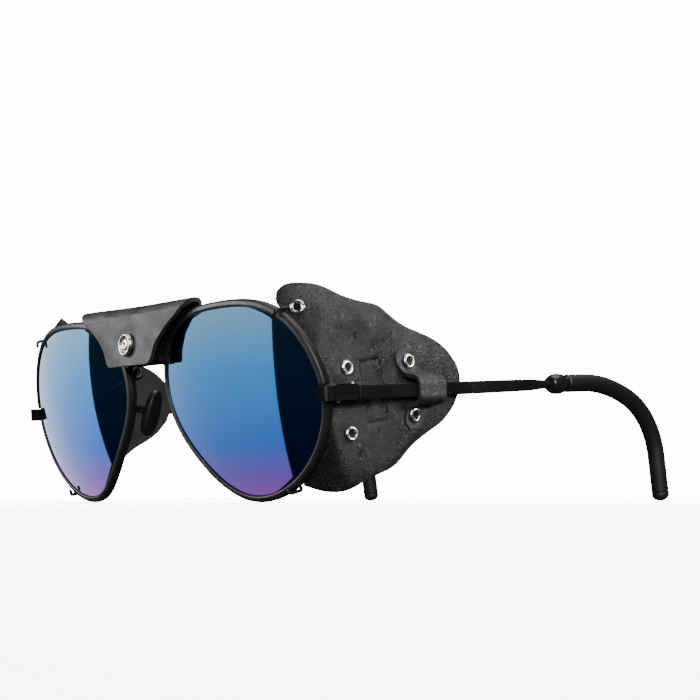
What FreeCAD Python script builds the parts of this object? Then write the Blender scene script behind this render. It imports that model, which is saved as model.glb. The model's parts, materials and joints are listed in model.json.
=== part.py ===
"""Glacier glasses: wire-rimmed aviator sunglasses with leather side shields and a leather nose cover.

Each piece is modelled as the wearer's left one in the wearing frame: X towards the wearer's left,
Y backwards, Z up, with the origin midway between the two lens centres.  Paired pieces are mirrored
in X.  At the end everything is tipped back a little, so that the glasses stand on the rims and on
the two temple tips, with Z = 0 on the surface that they stand on.
"""
import FreeCAD, Part
import math
import os

V = FreeCAD.Vector
LEFT, UP, BACK = V(1, 0, 0), V(0, 0, 1), V(0, 1, 0)
ORIGIN = V(0, 0, 0)

# ---------------------------------------------------------------- driving dimensions, mm and degrees
# lenses
lens_width = 58.0
lens_height = 49.0
bridge_width = 19.4            # between the two lenses
lens_curve_radius = 95.0       # front surface
lens_thickness = 1.8
lens_bevel_width = 0.7
lens_bevel_depth = 0.6
lens_wrap = 5.2                # temporal edge turned back
lens_tilt = 8.35               # lower edge turned back
lens_clearance = 0.02

# rims
rim_outset = 1.2               # from the lens edge to the outside of the rim
rim_front_lip = 0.9            # in front of the lens
rim_rear_lip = 0.3             # behind the lens
rim_edge_radius = 0.3
rim_slit = 0.4
bar_radius = 1.0
bar_height = 24.3
bar_angle = 128.0              # where it meets the rim, round the lens from its outer side
bar_run_out = 3.2              # straight run square to the rim
bar_ahead = 0.1                # in front of the lens centres
bridge_radius = 0.9
bridge_height = 12.6
bridge_angle = 159.0
bridge_rise = 2.2
bridge_ahead = 0.4             # in front of its ends
centre_bend = 6.0              # bend radius of the bar and the bridge

# temples and hinges
temple_height = 1.05           # above the lens centres
temple_toe_in = 3.1
temple_thickness = 1.2
temple_depth = 3.6             # at the hinge
temple_depth_rear = 3.0
temple_length = 113.7          # from the hinge pin to the rear of the tip
blade_length = 65.0
taper_length = 4.0
wire_radius = 0.85
core_radius = 0.6
collar_radius = 2.75
collar_length = 5.4
sleeve_radius = 2.4
ring_radius = 1.9
ring_width = 1.2
tip_first_radius = 42.0
tip_first_turn = 28.0
tip_second_radius = 20.5
tip_second_turn = 57.0
tip_straight = 13.0
plug_length = 2.6
plug_seam_gap = 0.2
plug_rounding = 0.85           # share of the plug's nose
joined_overlap = 0.2           # of collar and taper
ring_overlap = 0.6             # of ring and ball
end_piece_depth = 3.5
end_piece_reach = 8.0          # from the rim's side to the joint line
front_plate_reach = 3.5
side_gap = 0.9                 # between the rim and the end piece's side
groove_width = 1.0
groove_depth = 0.6
seam_width = 0.15
seam_depth = 0.35
seam_length = 5.8
front_gap = 0.3                # between the rim and the front plate
hinge_gap = 0.3                # between the end piece and the temple's front end
pin_set_back = 0.2             # from the temple's front end to the hinge pin's middle
barrel_radius = 1.25
barrel_clearance = 0.35        # barrel to the flat that it turns past
knuckle_gap = 0.1
inner_knuckle = 1.5
outer_knuckle = 1.3
hinge_leaf_length = 3.4
leaf_end_gap = 0.5             # from the upper and lower leaves to the joint line
inner_leaf_start = 1.2         # behind the pin
hinge_plate_end = 1.6          # in front of the joint line
hinge_plate_inset = 0.6        # from the pin's plane
hinge_screw_radius = 0.6
hinge_head_radius = 1.0
screw_head_height = 0.5
slot_width = 0.24
running_clearance = 0.03
block_length = 4.6
block_depth = 3.1
rim_screw_radius = 0.6
rim_screw_head_radius = 0.95
rim_screw_inset = 1.5          # from the end piece's inner side
rim_screw_gap = 0.385          # between the rim's rear and the screw head
rim_screw_short = 0.2          # from the screw's end to the upper block's top

# nose pads
pad_spacing = 21.8
pad_back = 9.2
pad_height = -0.56
pad_length = 13.0
pad_width = 7.0
pad_thickness = 2.4
pad_edge_radius = 0.9
pad_splay = 30.0
pad_frontal_angle = 18.0
pad_pivot_reach = 2.6          # from the pad's middle to its screw
tongue_width = 1.2
tongue_radius = 0.75
cheek_thickness = 0.5
cheek_height = 1.8
cheek_front = 0.85             # in front of the pivot
pad_gap = 0.3
pad_screw_radius = 0.4
pad_screw_head_radius = 0.65
pad_arm_radius = 0.55
pad_arm_angle = 165.0          # where it leaves the rim
pad_arm_bend = 1.3
pad_arm_steps = [(0.2, 1.8, 0.5), (1.4, 2.6, 2.6), (4.4, 3.0, 2.4)]     # from its root
pad_arm_drop = (0.9, 0.0, 3.2)     # its last corner, from the end of the straight run
pad_arm_run = 1.8              # straight run behind the pad box

# leather
leather_thickness = 1.3
cover_thickness = 1.2
cover_top_half_width = 26.4
cover_bottom_half_width = 10.1
cover_bottom_height = 11.9
cover_fold_radius = 3.6
cover_flap_lean = 1.1          # forward lean of the front flap at its lower edge
cover_back_lean = 0.9
cover_side = [(0.0, 1.0), (-5.0, -0.5), (-10.3, -4.0), (-13.9, -7.4), (-15.6, -10.6)]
snap_height = 17.45
snap_cap_radius = 3.1
snap_cap_height = 1.0
snap_stud_radius = 2.6
snap_stud_height = 0.7
snap_post_radius = 1.3
snap_sunk = 0.1                # how far cap and stud sit in the leather
shield_hinge_gap = 0.7         # between the shield and the hinge barrels
shield_length = 35.6           # behind the hinge pin
shield_rim_gap = 0.25
# front edge: angle round the lens and outset; other edges: from shield_x, from the pin, height
shield_front = [(62.0, 3.3), (45.0, 0.9), (20.0, -1.0), (-5.0, -1.8), (-30.0, -1.0), (-55.0, 1.0)]
shield_top = [(-10.8, -6.8, 28.3), (-6.8, -3.5, 27.9), (-3.6, 0.2, 25.8), (-0.5, 10.9, 22.0),
              (0.0, 21.4, 15.7), (0.0, 31.5, 10.65)]
shield_bottom = [(-6.4, -3.5, -23.0), (-2.3, 3.3, -20.8), (-0.4, 12.6, -17.4), (0.0, 18.0, -12.5),
                 (0.0, 30.6, -4.95)]
shield_rear_height = 3.45
clip_share = 0.2               # of the front edge, from each end of the hem wire
clip_bend = 1.2
clip_wire_radius = 0.45
clip_gap = 0.15
clip_top_angle = 48.0
clip_bottom_angle = -59.0
eyelet_radius = 1.9
eyelet_tube_radius = 1.33
eyelet_hole_radius = 0.95
eyelet_lip = 0.3
strap_thickness = 1.1
strap_width = 9.5
strap_start = 18.0             # behind the hinge pin
strap_inset = 0.05
strap_tab_radius = 3.04
strap_neck_half_width = 2.4
strap_eyelets = [(18.3, 7.3), (19.6, -5.3)]     # behind the pin, above the temple
shield_eyelets = [(0.10, 0.10), (0.33, 0.155), (0.68, 0.16)]     # shares of the shield: down, back

# ---------------------------------------------------------------- sizes that follow
lens_spacing = lens_width + bridge_width
half_spacing = lens_spacing / 2
half_width = lens_width / 2
half_height = lens_height / 2
rim_back = lens_thickness + rim_rear_lip
rim_middle = (rim_back - rim_front_lip) / 2
lens_edge = [(1.0, 0.0), (0.628, 0.83), (-0.09, 1.0), (-0.845, 0.727),
             (-1.0, 0.216), (-0.634, -0.547), (-0.086, -0.98), (0.6, -0.792)]
EDGE_SAMPLES = 32
REACH = 40.0                   # longer than any cut needs
lens_place = FreeCAD.Placement(V(half_spacing, 0, 0), FreeCAD.Rotation(lens_wrap, 0, lens_tilt))


# ---------------------------------------------------------------- helpers
def box(low, high):
    """Box between two opposite corners."""
    size = high - low
    return Part.makeBox(size.x, size.y, size.z, low)


def rod(start, end, radius):
    """Solid cylinder from start to end."""
    return Part.makeCylinder(radius, (end - start).Length, start, end - start)


def rounded_path(points, radius):
    """Wire of straight runs through the points, with a tangent arc at each corner."""
    edges = []
    start = points[0]
    for before, corner, after in zip(points, points[1:], points[2:]):
        to_before = (before - corner).normalize()
        to_after = (after - corner).normalize()
        half_turn = (math.pi - to_before.getAngle(to_after)) / 2
        room = 0.45 * min((before - corner).Length, (after - corner).Length)
        set_back = min(radius * math.tan(half_turn), room)
        bend = set_back / math.tan(half_turn)
        enter = corner + to_before * set_back
        leave = corner + to_after * set_back
        inward = (to_before + to_after).normalize()
        centre = corner + inward * (bend / math.cos(half_turn))
        edges.append(Part.LineSegment(start, enter).toShape())
        edges.append(Part.Arc(enter, centre - inward * bend, leave).toShape())
        start = leave
    edges.append(Part.LineSegment(start, points[-1]).toShape())
    return Part.Wire(edges)


def wire_along(path, radius):
    """Round wire of the given radius along a path."""
    first = path.OrderedEdges[0]
    start = first.valueAt(first.FirstParameter)
    circle = Part.Circle(start, first.tangentAt(first.FirstParameter), radius)
    return path.makePipe(Part.Face(Part.Wire(circle.toShape())))


def spline(points):
    """Open smooth curve through points."""
    curve = Part.BSplineCurve()
    curve.interpolate(points)
    return curve


def along(curve, share):
    """Point at a share, 0 to 1, of a curve's parameter range."""
    return curve.value(curve.FirstParameter + share * (curve.LastParameter - curve.FirstParameter))


# ---------------------------------------------------------------- lens outline
def edge_curve(outset=0.0):
    """Closed outline in the lens's own XZ plane, moved outwards by outset."""
    base = Part.BSplineCurve()
    base.interpolate(Points=[V(u * half_width, 0, v * half_height) for u, v in lens_edge],
                     PeriodicFlag=True)
    if outset == 0.0:
        return base
    span = base.LastParameter - base.FirstParameter
    points = []
    for step in range(EDGE_SAMPLES):
        at = base.FirstParameter + span * step / EDGE_SAMPLES
        tangent = base.tangent(at)[0]
        points.append(base.value(at) + V(tangent.z, 0, -tangent.x) * outset)
    moved = Part.BSplineCurve()
    moved.interpolate(Points=points, PeriodicFlag=True)
    return moved


EDGE = edge_curve()


def edge_point(angle, outset=0.0, back=0.0):
    """Point beside the lens edge at a polar angle, so far outside it and behind the front surface."""
    low, high = EDGE.FirstParameter, EDGE.LastParameter
    target = angle % 360.0
    for _ in range(40):
        middle = (low + high) / 2
        point = EDGE.value(middle)
        if math.degrees(math.atan2(point.z, point.x)) % 360.0 < target:
            low = middle
        else:
            high = middle
    tangent = EDGE.tangent(low)[0]
    flat = EDGE.value(low) + V(tangent.z, 0, -tangent.x) * outset
    flat.y = lens_curve_radius - math.sqrt(lens_curve_radius ** 2 - flat.x ** 2 - flat.z ** 2) + back
    return lens_place.multVec(flat)


def curved_plate(outset, front, back):
    """The outline's prism, cut to a shell of the lens's curve from front to back of its surface."""
    centre = V(0, lens_curve_radius, 0)
    prism = Part.Face(Part.Wire(edge_curve(outset).toShape())).extrude(V(0, 2 * REACH, 0))
    prism.translate(V(0, -REACH, 0))
    shell = Part.makeSphere(lens_curve_radius + front, centre)
    shell = shell.cut(Part.makeSphere(lens_curve_radius - back, centre))
    plate = prism.common(shell)
    return max(plate.Solids, key=lambda solid: -solid.BoundBox.YMin)


# the rim's outermost point at the height of the temple: the end piece is set out from it
RIM_SIDE = edge_point(math.degrees(math.atan2(temple_height, half_width)), rim_outset)
side_inner = RIM_SIDE.x + side_gap
side_outer = side_inner + temple_thickness
plate_front = RIM_SIDE.y - rim_front_lip - temple_thickness - front_gap
joint_line = RIM_SIDE.y + end_piece_reach
pin_x = side_inner - barrel_radius - barrel_clearance
pin_y = joint_line + hinge_gap + pin_set_back
PIN = V(pin_x, pin_y, temple_height)
knuckle_split = inner_knuckle / 2 + knuckle_gap
hinge_top = knuckle_split + outer_knuckle
rim_slope = math.asin((half_width + rim_outset) / lens_curve_radius)
rim_rear_reach = rim_back / math.cos(rim_slope)


# ---------------------------------------------------------------- rims and lenses
def rim_blank():
    """The rim's outer body before its opening is cut."""
    blank = curved_plate(rim_outset, rim_front_lip, rim_back)
    round_edges = [edge for edge in blank.Edges if edge.Length > lens_width]
    return blank.makeFillet(rim_edge_radius, round_edges)


def rim(blank):
    """Grooved wire rim, slit at the temple so that its closing blocks can open."""
    ring = blank.cut(curved_plate(-lens_bevel_depth, 2 * rim_front_lip, 2 * rim_back))
    groove_middle = lens_thickness / 2
    half_groove = lens_bevel_width / 2
    ring = ring.cut(curved_plate(lens_clearance, half_groove - groove_middle,
                                 groove_middle + half_groove))
    ring.Placement = lens_place
    slit = box(V(half_spacing, -REACH, temple_height - rim_slit / 2),
               V(half_spacing + REACH, REACH, temple_height + rim_slit / 2))
    return ring.cut(slit)


def lens():
    """Curved lens with a bevel tongue round its edge."""
    middle = lens_thickness / 2
    half_bevel = lens_bevel_width / 2 - lens_clearance
    plate = curved_plate(-lens_bevel_depth - lens_clearance, 0.0, lens_thickness)
    tongue = curved_plate(-lens_clearance, half_bevel - middle, middle + half_bevel)
    whole = plate.fuse(tongue)
    whole.Placement = lens_place
    return whole


def closing_block(side, blank):
    """Half of the closing block, above (+1) or below (-1) the rim's slit, bored for the rim screw."""
    near = temple_height + side * rim_slit / 2
    far = temple_height + side * (rim_slit / 2 + block_depth / 2)
    low = V(pin_x - barrel_radius, RIM_SIDE.y - rim_front_lip, min(near, far))
    block = box(low, V(side_inner, RIM_SIDE.y + block_length, max(near, far))).cut(blank)
    block = max(block.Solids, key=lambda solid: solid.Volume)
    return block.cut(rod(SCREW_FOOT - UP * REACH, SCREW_FOOT + UP * REACH, rim_screw_radius))


SCREW_FOOT = V(side_inner - rim_screw_inset,
               RIM_SIDE.y + rim_rear_reach + rim_screw_head_radius + rim_screw_gap,
               temple_height - rim_slit / 2 - block_depth / 2)


def rim_screw():
    """Screw from below that draws the closing blocks together round the lens."""
    shank = rod(SCREW_FOOT, SCREW_FOOT + UP * (block_depth + rim_slit - rim_screw_short),
                rim_screw_radius)
    head = rod(SCREW_FOOT - UP * screw_head_height, SCREW_FOOT, rim_screw_head_radius)
    slot = box(SCREW_FOOT + V(-slot_width / 2, -REACH, -screw_head_height),
               SCREW_FOOT + V(slot_width / 2, REACH, -screw_head_height / 2))
    return shank.fuse(head).cut(slot)


# ---------------------------------------------------------------- end piece and hinge
def end_piece(blank):
    """Bracket that wraps from the rim's front round to the joint line, with a groove and a seam."""
    low = temple_height - end_piece_depth / 2
    high = temple_height + end_piece_depth / 2
    plate = box(V(side_outer - front_plate_reach, plate_front, low),
                V(side_outer, plate_front + temple_thickness, high))
    side = box(V(side_inner, plate_front, low), V(side_outer, joint_line, high))
    piece = plate.fuse(side).removeSplitter()
    corner = [edge for edge in piece.Edges
              if abs(edge.CenterOfMass.x - side_outer) < 0.01
              and abs(edge.CenterOfMass.y - plate_front) < 0.01]
    piece = piece.makeFillet(0.8 * temple_thickness, corner)
    groove_start = RIM_SIDE.y - front_gap
    groove = box(V(side_outer - groove_depth, groove_start, low - 1),
                 V(side_outer + 1, groove_start + groove_width, high + 1))
    seam_start = groove_start + groove_width
    seam = box(V(side_outer - seam_depth, seam_start, temple_height - seam_width / 2),
               V(side_outer + 1, seam_start + seam_length, temple_height + seam_width / 2))
    return piece.cut(groove).cut(seam).cut(blank)


def knuckle(low, high, leaf_front, leaf_back):
    """Barrel round the hinge pin between two heights, with a leaf to the flat beside it."""
    barrel = rod(PIN + UP * low, PIN + UP * high, barrel_radius)
    leaf = box(V(pin_x - barrel_radius, leaf_front, temple_height + low),
               V(side_inner, leaf_back, temple_height + high))
    web = box(V(pin_x - barrel_radius, min(leaf_back, pin_y), temple_height + low),
              V(side_inner - barrel_clearance, max(leaf_front, pin_y), temple_height + high))
    return barrel.fuse([leaf, web]).removeSplitter()


def hinge_front():
    """Upper and lower knuckles on the end piece, joined by the plate that is brazed to it."""
    front = joint_line - hinge_leaf_length
    back = joint_line - leaf_end_gap
    upper = knuckle(knuckle_split, hinge_top, front, back)
    lower = knuckle(-hinge_top, -knuckle_split, front, back)
    plate = box(V(pin_x + hinge_plate_inset, front, temple_height - knuckle_split),
                V(side_inner, joint_line - hinge_plate_end, temple_height + knuckle_split))
    bore = rod(PIN - UP * REACH, PIN + UP * REACH, hinge_screw_radius)
    return upper.fuse([lower, plate]).cut(bore)


def hinge_temple():
    """Middle knuckle on the temple's inner face."""
    half = inner_knuckle / 2
    middle = knuckle(-half, half, pin_y + inner_leaf_start, pin_y + hinge_leaf_length)
    bore = rod(PIN - UP * REACH, PIN + UP * REACH, hinge_screw_radius + running_clearance)
    return turned_in(middle.cut(bore))


def turned_in(shape):
    """Turn a temple piece from straight back to its toe-in about the hinge pin."""
    shape.rotate(PIN, UP, temple_toe_in)
    return shape


def hinge_screw():
    """Hinge pin with a slotted head."""
    top = PIN + UP * hinge_top
    shank = rod(PIN - UP * hinge_top, top, hinge_screw_radius)
    head = rod(top, top + UP * screw_head_height, hinge_head_radius)
    slot = box(top + V(-REACH, -slot_width / 2, screw_head_height / 2),
               top + V(REACH, slot_width / 2, screw_head_height + 1))
    return shank.fuse(head).cut(slot)


# ---------------------------------------------------------------- temples
# The temple is drawn straight back from the hinge pin, and turned in afterwards.
blade_inner = side_inner - pin_x
wire_x = pin_x + blade_inner + temple_thickness / 2
blade_front = joint_line + hinge_gap
blade_end = pin_y + blade_length
collar_start = blade_end + taper_length - joined_overlap
ring_start = collar_start + collar_length
sleeve_start = ring_start + ring_width
turns = [math.radians(tip_first_turn), math.radians(tip_first_turn + tip_second_turn)]
tip_reach = (tip_first_radius * math.sin(turns[0])
             + tip_second_radius * (math.sin(turns[1]) - math.sin(turns[0]))
             + tip_straight * math.cos(turns[1]))
bend_start = pin_y + temple_length - tip_reach


def tip_path(start, end_cut=0.0):
    """Centre line of the tip: straight back, two arcs that turn it down, and a straight end."""
    def arc(begin, turn_from, turn_to, radius):
        centre = begin - V(0, math.sin(turn_from), math.cos(turn_from)) * radius
        middle = (turn_from + turn_to) / 2
        via = centre + V(0, math.sin(middle), math.cos(middle)) * radius
        end = centre + V(0, math.sin(turn_to), math.cos(turn_to)) * radius
        return Part.Arc(begin, via, end).toShape(), end
    first = V(wire_x, start, temple_height)
    bend = V(wire_x, bend_start, temple_height)
    gentle, between = arc(bend, 0.0, turns[0], tip_first_radius)
    tight, after = arc(between, turns[0], turns[1], tip_second_radius)
    down = V(0, math.cos(turns[1]), -math.sin(turns[1]))
    last = after + down * (tip_straight - end_cut)
    edges = [Part.LineSegment(first, bend).toShape(), gentle, tight,
             Part.LineSegment(after, last).toShape()]
    return Part.Wire(edges), last, down


def temple():
    """Flat blade that tapers to a wire, with the core wire that runs on inside the tip."""
    half, rear = temple_depth / 2, temple_depth_rear / 2
    taper_end = blade_end + taper_length
    profile = [(blade_front, half), (blade_end, rear), (taper_end, wire_radius),
               (taper_end, -wire_radius), (blade_end, -rear), (blade_front, -half)]
    points = [V(pin_x + blade_inner, y, temple_height + z) for y, z in profile]
    blade = Part.Face(Part.makePolygon(points + points[:1])).extrude(LEFT * temple_thickness)
    neck = rod(V(wire_x, blade_end, temple_height), V(wire_x, sleeve_start, temple_height),
               wire_radius)
    path, _, _ = tip_path(sleeve_start, 2 * plug_length)
    core = wire_along(path, core_radius)
    return turned_in(blade.fuse([neck, core]).removeSplitter())


def tip_collar():
    """Ball-shaped metal collar between the blade and the rubber tip."""
    middle = V(wire_x, collar_start + collar_length / 2, temple_height)
    ball = Part.makeSphere(collar_radius, middle)
    span = box(V(wire_x - REACH, collar_start, temple_height - REACH),
               V(wire_x + REACH, ring_start, temple_height + REACH))
    ring = rod(V(wire_x, ring_start - ring_overlap, temple_height),
               V(wire_x, sleeve_start, temple_height), ring_radius)
    bore = rod(V(wire_x, collar_start - 1, temple_height),
               V(wire_x, sleeve_start + 1, temple_height), wire_radius)
    taper = box(V(pin_x + blade_inner, blade_end, temple_height - REACH),
                V(side_outer, blade_end + taper_length, temple_height + REACH))
    return turned_in(ball.common(span).fuse(ring).cut(bore).cut(taper))


def tip_sleeve():
    """Curved rubber tube over the core wire, ending at the plug's seam."""
    path, _, _ = tip_path(sleeve_start, plug_length)
    core, _, _ = tip_path(sleeve_start, 2 * plug_length)
    return turned_in(wire_along(path, sleeve_radius).cut(wire_along(core, core_radius)))


def tip_plug():
    """Round-nosed plug that closes the rubber tube."""
    _, end, down = tip_path(sleeve_start)
    seam = end - down * plug_length
    nose = plug_length - plug_seam_gap
    body = rod(seam, end - down * nose * 0.5, sleeve_radius)
    squash = Part.makeCylinder(sleeve_radius, nose, end - down * nose, down)
    front = [edge for edge in squash.Edges if (edge.CenterOfMass - end).Length < 0.01]
    return turned_in(body.fuse(squash.makeFillet(plug_rounding * nose, front)).removeSplitter())


# ---------------------------------------------------------------- nose pads
pad_place = FreeCAD.Placement(V(pad_spacing / 2, pad_back, pad_height),
                              FreeCAD.Rotation(-pad_splay, -pad_frontal_angle, 0))
cheek_inner = tongue_width / 2 + pad_gap
cheek_outer = cheek_inner + cheek_thickness
box_base = pad_pivot_reach + tongue_radius + pad_gap
PIVOT = V(pad_pivot_reach, 0, 0)


def nose_pad():
    """Oval silicone pad with the tongue that its screw passes through."""
    oval = Part.Ellipse(ORIGIN, pad_length / 2, pad_width / 2).toShape()
    face = Part.Face(Part.Wire(oval))
    face.rotate(ORIGIN, BACK, -90)
    pad = face.extrude(LEFT * pad_thickness)
    pad.translate(LEFT * (-pad_thickness / 2))
    pad = pad.makeFillet(pad_edge_radius, [edge for edge in pad.Edges if edge.Length > pad_length])
    side = BACK * (tongue_width / 2)
    tongue = box(V(0, -tongue_width / 2, -tongue_radius),
                 V(pad_pivot_reach, tongue_width / 2, tongue_radius))
    eye = rod(PIVOT - side, PIVOT + side, tongue_radius)
    hole = rod(PIVOT - side * 2, PIVOT + side * 2, pad_screw_radius + running_clearance)
    whole = pad.fuse([tongue, eye]).cut(hole)
    whole.Placement = pad_place
    return whole


def pad_box():
    """Small channel that holds the pad's tongue between two cheeks."""
    half = cheek_height / 2
    outer = box(V(pad_pivot_reach - cheek_front, -cheek_outer, -half),
                V(box_base + cheek_thickness, cheek_outer, half))
    inner = box(V(0, -cheek_inner, -REACH), V(box_base, cheek_inner, REACH))
    hole = rod(PIVOT - BACK * REACH, PIVOT + BACK * REACH, pad_screw_radius)
    whole = outer.cut(inner).cut(hole)
    whole.Placement = pad_place
    return whole


def pad_screw():
    """Cross screw of the pad box."""
    head_start = PIVOT + BACK * cheek_outer
    shank = rod(PIVOT - BACK * cheek_outer, head_start, pad_screw_radius)
    head = rod(head_start, head_start + BACK * 0.35, pad_screw_head_radius)
    whole = shank.fuse(head)
    whole.Placement = pad_place
    return whole


def pad_arm(blank):
    """Wire from the back of the rim, looped up and round to the pad box."""
    root = edge_point(pad_arm_angle, rim_outset / 2, rim_back)
    back_of_box = pad_place.multVec(V(box_base + cheek_thickness, 0, 0))
    behind_box = pad_place.multVec(V(box_base + cheek_thickness + pad_arm_run, 0, 0))
    points = [root] + [root + V(*step) for step in pad_arm_steps]
    points += [behind_box + V(*pad_arm_drop), behind_box, back_of_box]
    return wire_along(rounded_path(points, pad_arm_bend), pad_arm_radius).cut(blank)


# ---------------------------------------------------------------- centre
def brow_bar(rims):
    """Bar across the brow, from rim to rim, under the fold of the nose cover."""
    rim_end = edge_point(bar_angle, rim_outset, rim_middle)
    inward = edge_point(bar_angle, rim_outset + bar_run_out, rim_middle)
    side = V(inward.x, -bar_ahead, bar_height)
    points = [rim_end, side, V(-side.x, side.y, side.z), V(-rim_end.x, rim_end.y, rim_end.z)]
    return wire_along(rounded_path(points, centre_bend), bar_radius).cut(rims)


def nose_bridge(rims):
    """Arched bridge wire low between the rims."""
    rim_end = edge_point(bridge_angle, rim_outset, rim_middle)
    side = V(rim_end.x / 2, rim_end.y - bridge_ahead, bridge_height + bridge_rise)
    points = [rim_end, side, V(-side.x, side.y, side.z), V(-rim_end.x, rim_end.y, rim_end.z)]
    return wire_along(rounded_path(points, centre_bend), bridge_radius).cut(rims)


cover_centre = V(0, -bar_ahead, bar_height)
cover_inner_radius = cover_fold_radius - cover_thickness


def flap_face(height, lean):
    """How far a flap's lean has carried it at a height below the fold."""
    return lean * (bar_height - height) / (bar_height - cover_bottom_height)


def cover_section(radius):
    """Closed outline of an upturned U at one radius, leaning apart towards its lower edges."""
    drop = bar_height - cover_bottom_height
    front_top = cover_centre + V(0, -radius, 0)
    back_top = cover_centre + V(0, radius, 0)
    front_foot = front_top + V(0, -cover_flap_lean, -drop)
    back_foot = back_top + V(0, cover_back_lean, -drop)
    crown = Part.Arc(front_top, cover_centre + UP * radius, back_top).toShape()
    edges = [Part.LineSegment(front_foot, front_top).toShape(), crown,
             Part.LineSegment(back_top, back_foot).toShape(),
             Part.LineSegment(back_foot, front_foot).toShape()]
    return Part.Face(Part.Wire(edges))


def nose_cover():
    """Leather folded over the brow bar, with a front and a back flap that narrow downwards."""
    half = cover_top_half_width
    top = bar_height + cover_fold_radius + 1
    solid = cover_section(cover_fold_radius).extrude(LEFT * 2 * half)
    solid = solid.cut(cover_section(cover_inner_radius).extrude(LEFT * 2 * half))
    solid.translate(LEFT * -half)
    side = [V(half + across, 0, bar_height + rise) for across, rise in cover_side]
    side.append(V(cover_bottom_half_width, 0, cover_bottom_height))
    right = [V(-point.x, point.y, point.z) for point in side]
    edges = [spline(side).toShape(), Part.LineSegment(side[-1], right[-1]).toShape(),
             spline(right[::-1]).toShape(),
             Part.makePolygon([right[0], V(-half, 0, top), V(half, 0, top), side[0]])]
    outline = Part.Face(Part.Wire(edges)).extrude(BACK * 2 * REACH)
    outline.translate(BACK * -REACH)
    post = rod(V(0, -REACH, snap_height), V(0, REACH, snap_height), snap_post_radius)
    return solid.common(outline).cut(post)


snap_front = cover_centre.y - cover_fold_radius - flap_face(snap_height, cover_flap_lean)
snap_back = cover_centre.y + cover_fold_radius + flap_face(snap_height, cover_back_lean)


def snap_cap():
    """Round snap cap on the front flap, with a ring and a raised centre."""
    seat = V(0, snap_front - snap_sunk, snap_height)
    front = seat - BACK * snap_cap_height
    dome = Part.makeCone(snap_cap_radius, 0.75 * snap_cap_radius, snap_cap_height, seat, -BACK)
    dish = rod(front - BACK, front + BACK * 0.5 * snap_cap_height, 0.5 * snap_cap_radius)
    button = rod(front + BACK * 0.25 * snap_cap_height, seat, 0.3 * snap_cap_radius)
    return dome.cut(dish).fuse(button)


def snap_stud():
    """Stud behind the back flap, whose post passes between the bars to the cap."""
    seat = V(0, snap_back + snap_sunk, snap_height)
    flange = Part.makeCone(snap_stud_radius, 0.8 * snap_stud_radius, snap_stud_height, seat, BACK)
    post = rod(V(0, snap_front - snap_sunk, snap_height), seat, snap_post_radius)
    return flange.fuse(post).removeSplitter()


# ---------------------------------------------------------------- leather side shields
shield_x = pin_x - barrel_radius - shield_hinge_gap - leather_thickness / 2
shield_rear = pin_y + shield_length
front_back = rim_back + shield_rim_gap + leather_thickness / 2
FRONT_EDGE = spline([edge_point(angle, outset, front_back) for angle, outset in shield_front])
TOP_POINTS = [V(shield_x + x, pin_y + y, z) for x, y, z in shield_top]
BOTTOM_POINTS = [V(shield_x + x, pin_y + y, z) for x, y, z in shield_bottom]
REAR_EDGE = spline([TOP_POINTS[-1], V(shield_x, shield_rear, shield_rear_height), BOTTOM_POINTS[-1]])
TOP_EDGE = spline([along(FRONT_EDGE, 0)] + TOP_POINTS)
BOTTOM_EDGE = spline([along(FRONT_EDGE, 1)] + BOTTOM_POINTS)
SHIELD_ROWS, SHIELD_COLUMNS = 9, 8


def shield_point(down, back):
    """Point of the shield's middle surface: a patch blended from its four edge curves."""
    rows = along(FRONT_EDGE, down) * (1 - back) + along(REAR_EDGE, down) * back
    columns = along(TOP_EDGE, back) * (1 - down) + along(BOTTOM_EDGE, back) * down
    upper = along(TOP_EDGE, 0) * (1 - back) + along(TOP_EDGE, 1) * back
    lower = along(BOTTOM_EDGE, 0) * (1 - back) + along(BOTTOM_EDGE, 1) * back
    point = rows + columns - upper * (1 - down) - lower * down
    point.x = min(point.x, shield_x)
    return point


def shield_normal(down, back):
    """Outward direction of the shield's middle surface."""
    step = 0.02
    across = shield_point(down, min(back + step, 1)) - shield_point(down, max(back - step, 0))
    fall = shield_point(min(down + step, 1), back) - shield_point(max(down - step, 0), back)
    return fall.cross(across).normalize()


def sheet_solid(outer, inner):
    """Closed solid between two grids of points, made of flat triangles."""
    rows, columns = len(outer), len(outer[0])
    loops = []
    for row in range(rows - 1):
        for column in range(columns - 1):
            cell = [(row, column), (row, column + 1), (row + 1, column + 1), (row + 1, column)]
            loops += [[grid[r][c] for r, c in cell] for grid in (outer, inner)]
    border = [(0, c) for c in range(columns)] + [(r, columns - 1) for r in range(1, rows)]
    border += [(rows - 1, c) for c in range(columns - 2, -1, -1)]
    border += [(r, 0) for r in range(rows - 2, -1, -1)]
    for (r, c), (below, beside) in zip(border, border[1:]):
        loops.append([outer[r][c], outer[below][beside], inner[below][beside], inner[r][c]])
    faces = []
    for a, b, c, d in loops:
        faces += [Part.Face(Part.makePolygon([a, b, c, a])), Part.Face(Part.makePolygon([a, c, d, a]))]
    return Part.Solid(Part.makeShell(faces))


def side_shield():
    """Leather sheet from behind the rim to beside the temple, with its eyelet holes."""
    half = leather_thickness / 2
    shares = [[(row / (SHIELD_ROWS - 1), column / (SHIELD_COLUMNS - 1))
               for column in range(SHIELD_COLUMNS)] for row in range(SHIELD_ROWS)]
    outer = [[shield_point(d, b) + shield_normal(d, b) * half for d, b in row] for row in shares]
    inner = [[shield_point(d, b) - shield_normal(d, b) * half for d, b in row] for row in shares]
    sheet = sheet_solid(outer, inner)
    for down, back in shield_eyelets:
        centre, outward = shield_point(down, back), shield_normal(down, back)
        reach = outward * eyelet_radius * 2
        sheet = sheet.cut(rod(centre - reach, centre + reach, eyelet_tube_radius))
    return sheet


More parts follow.
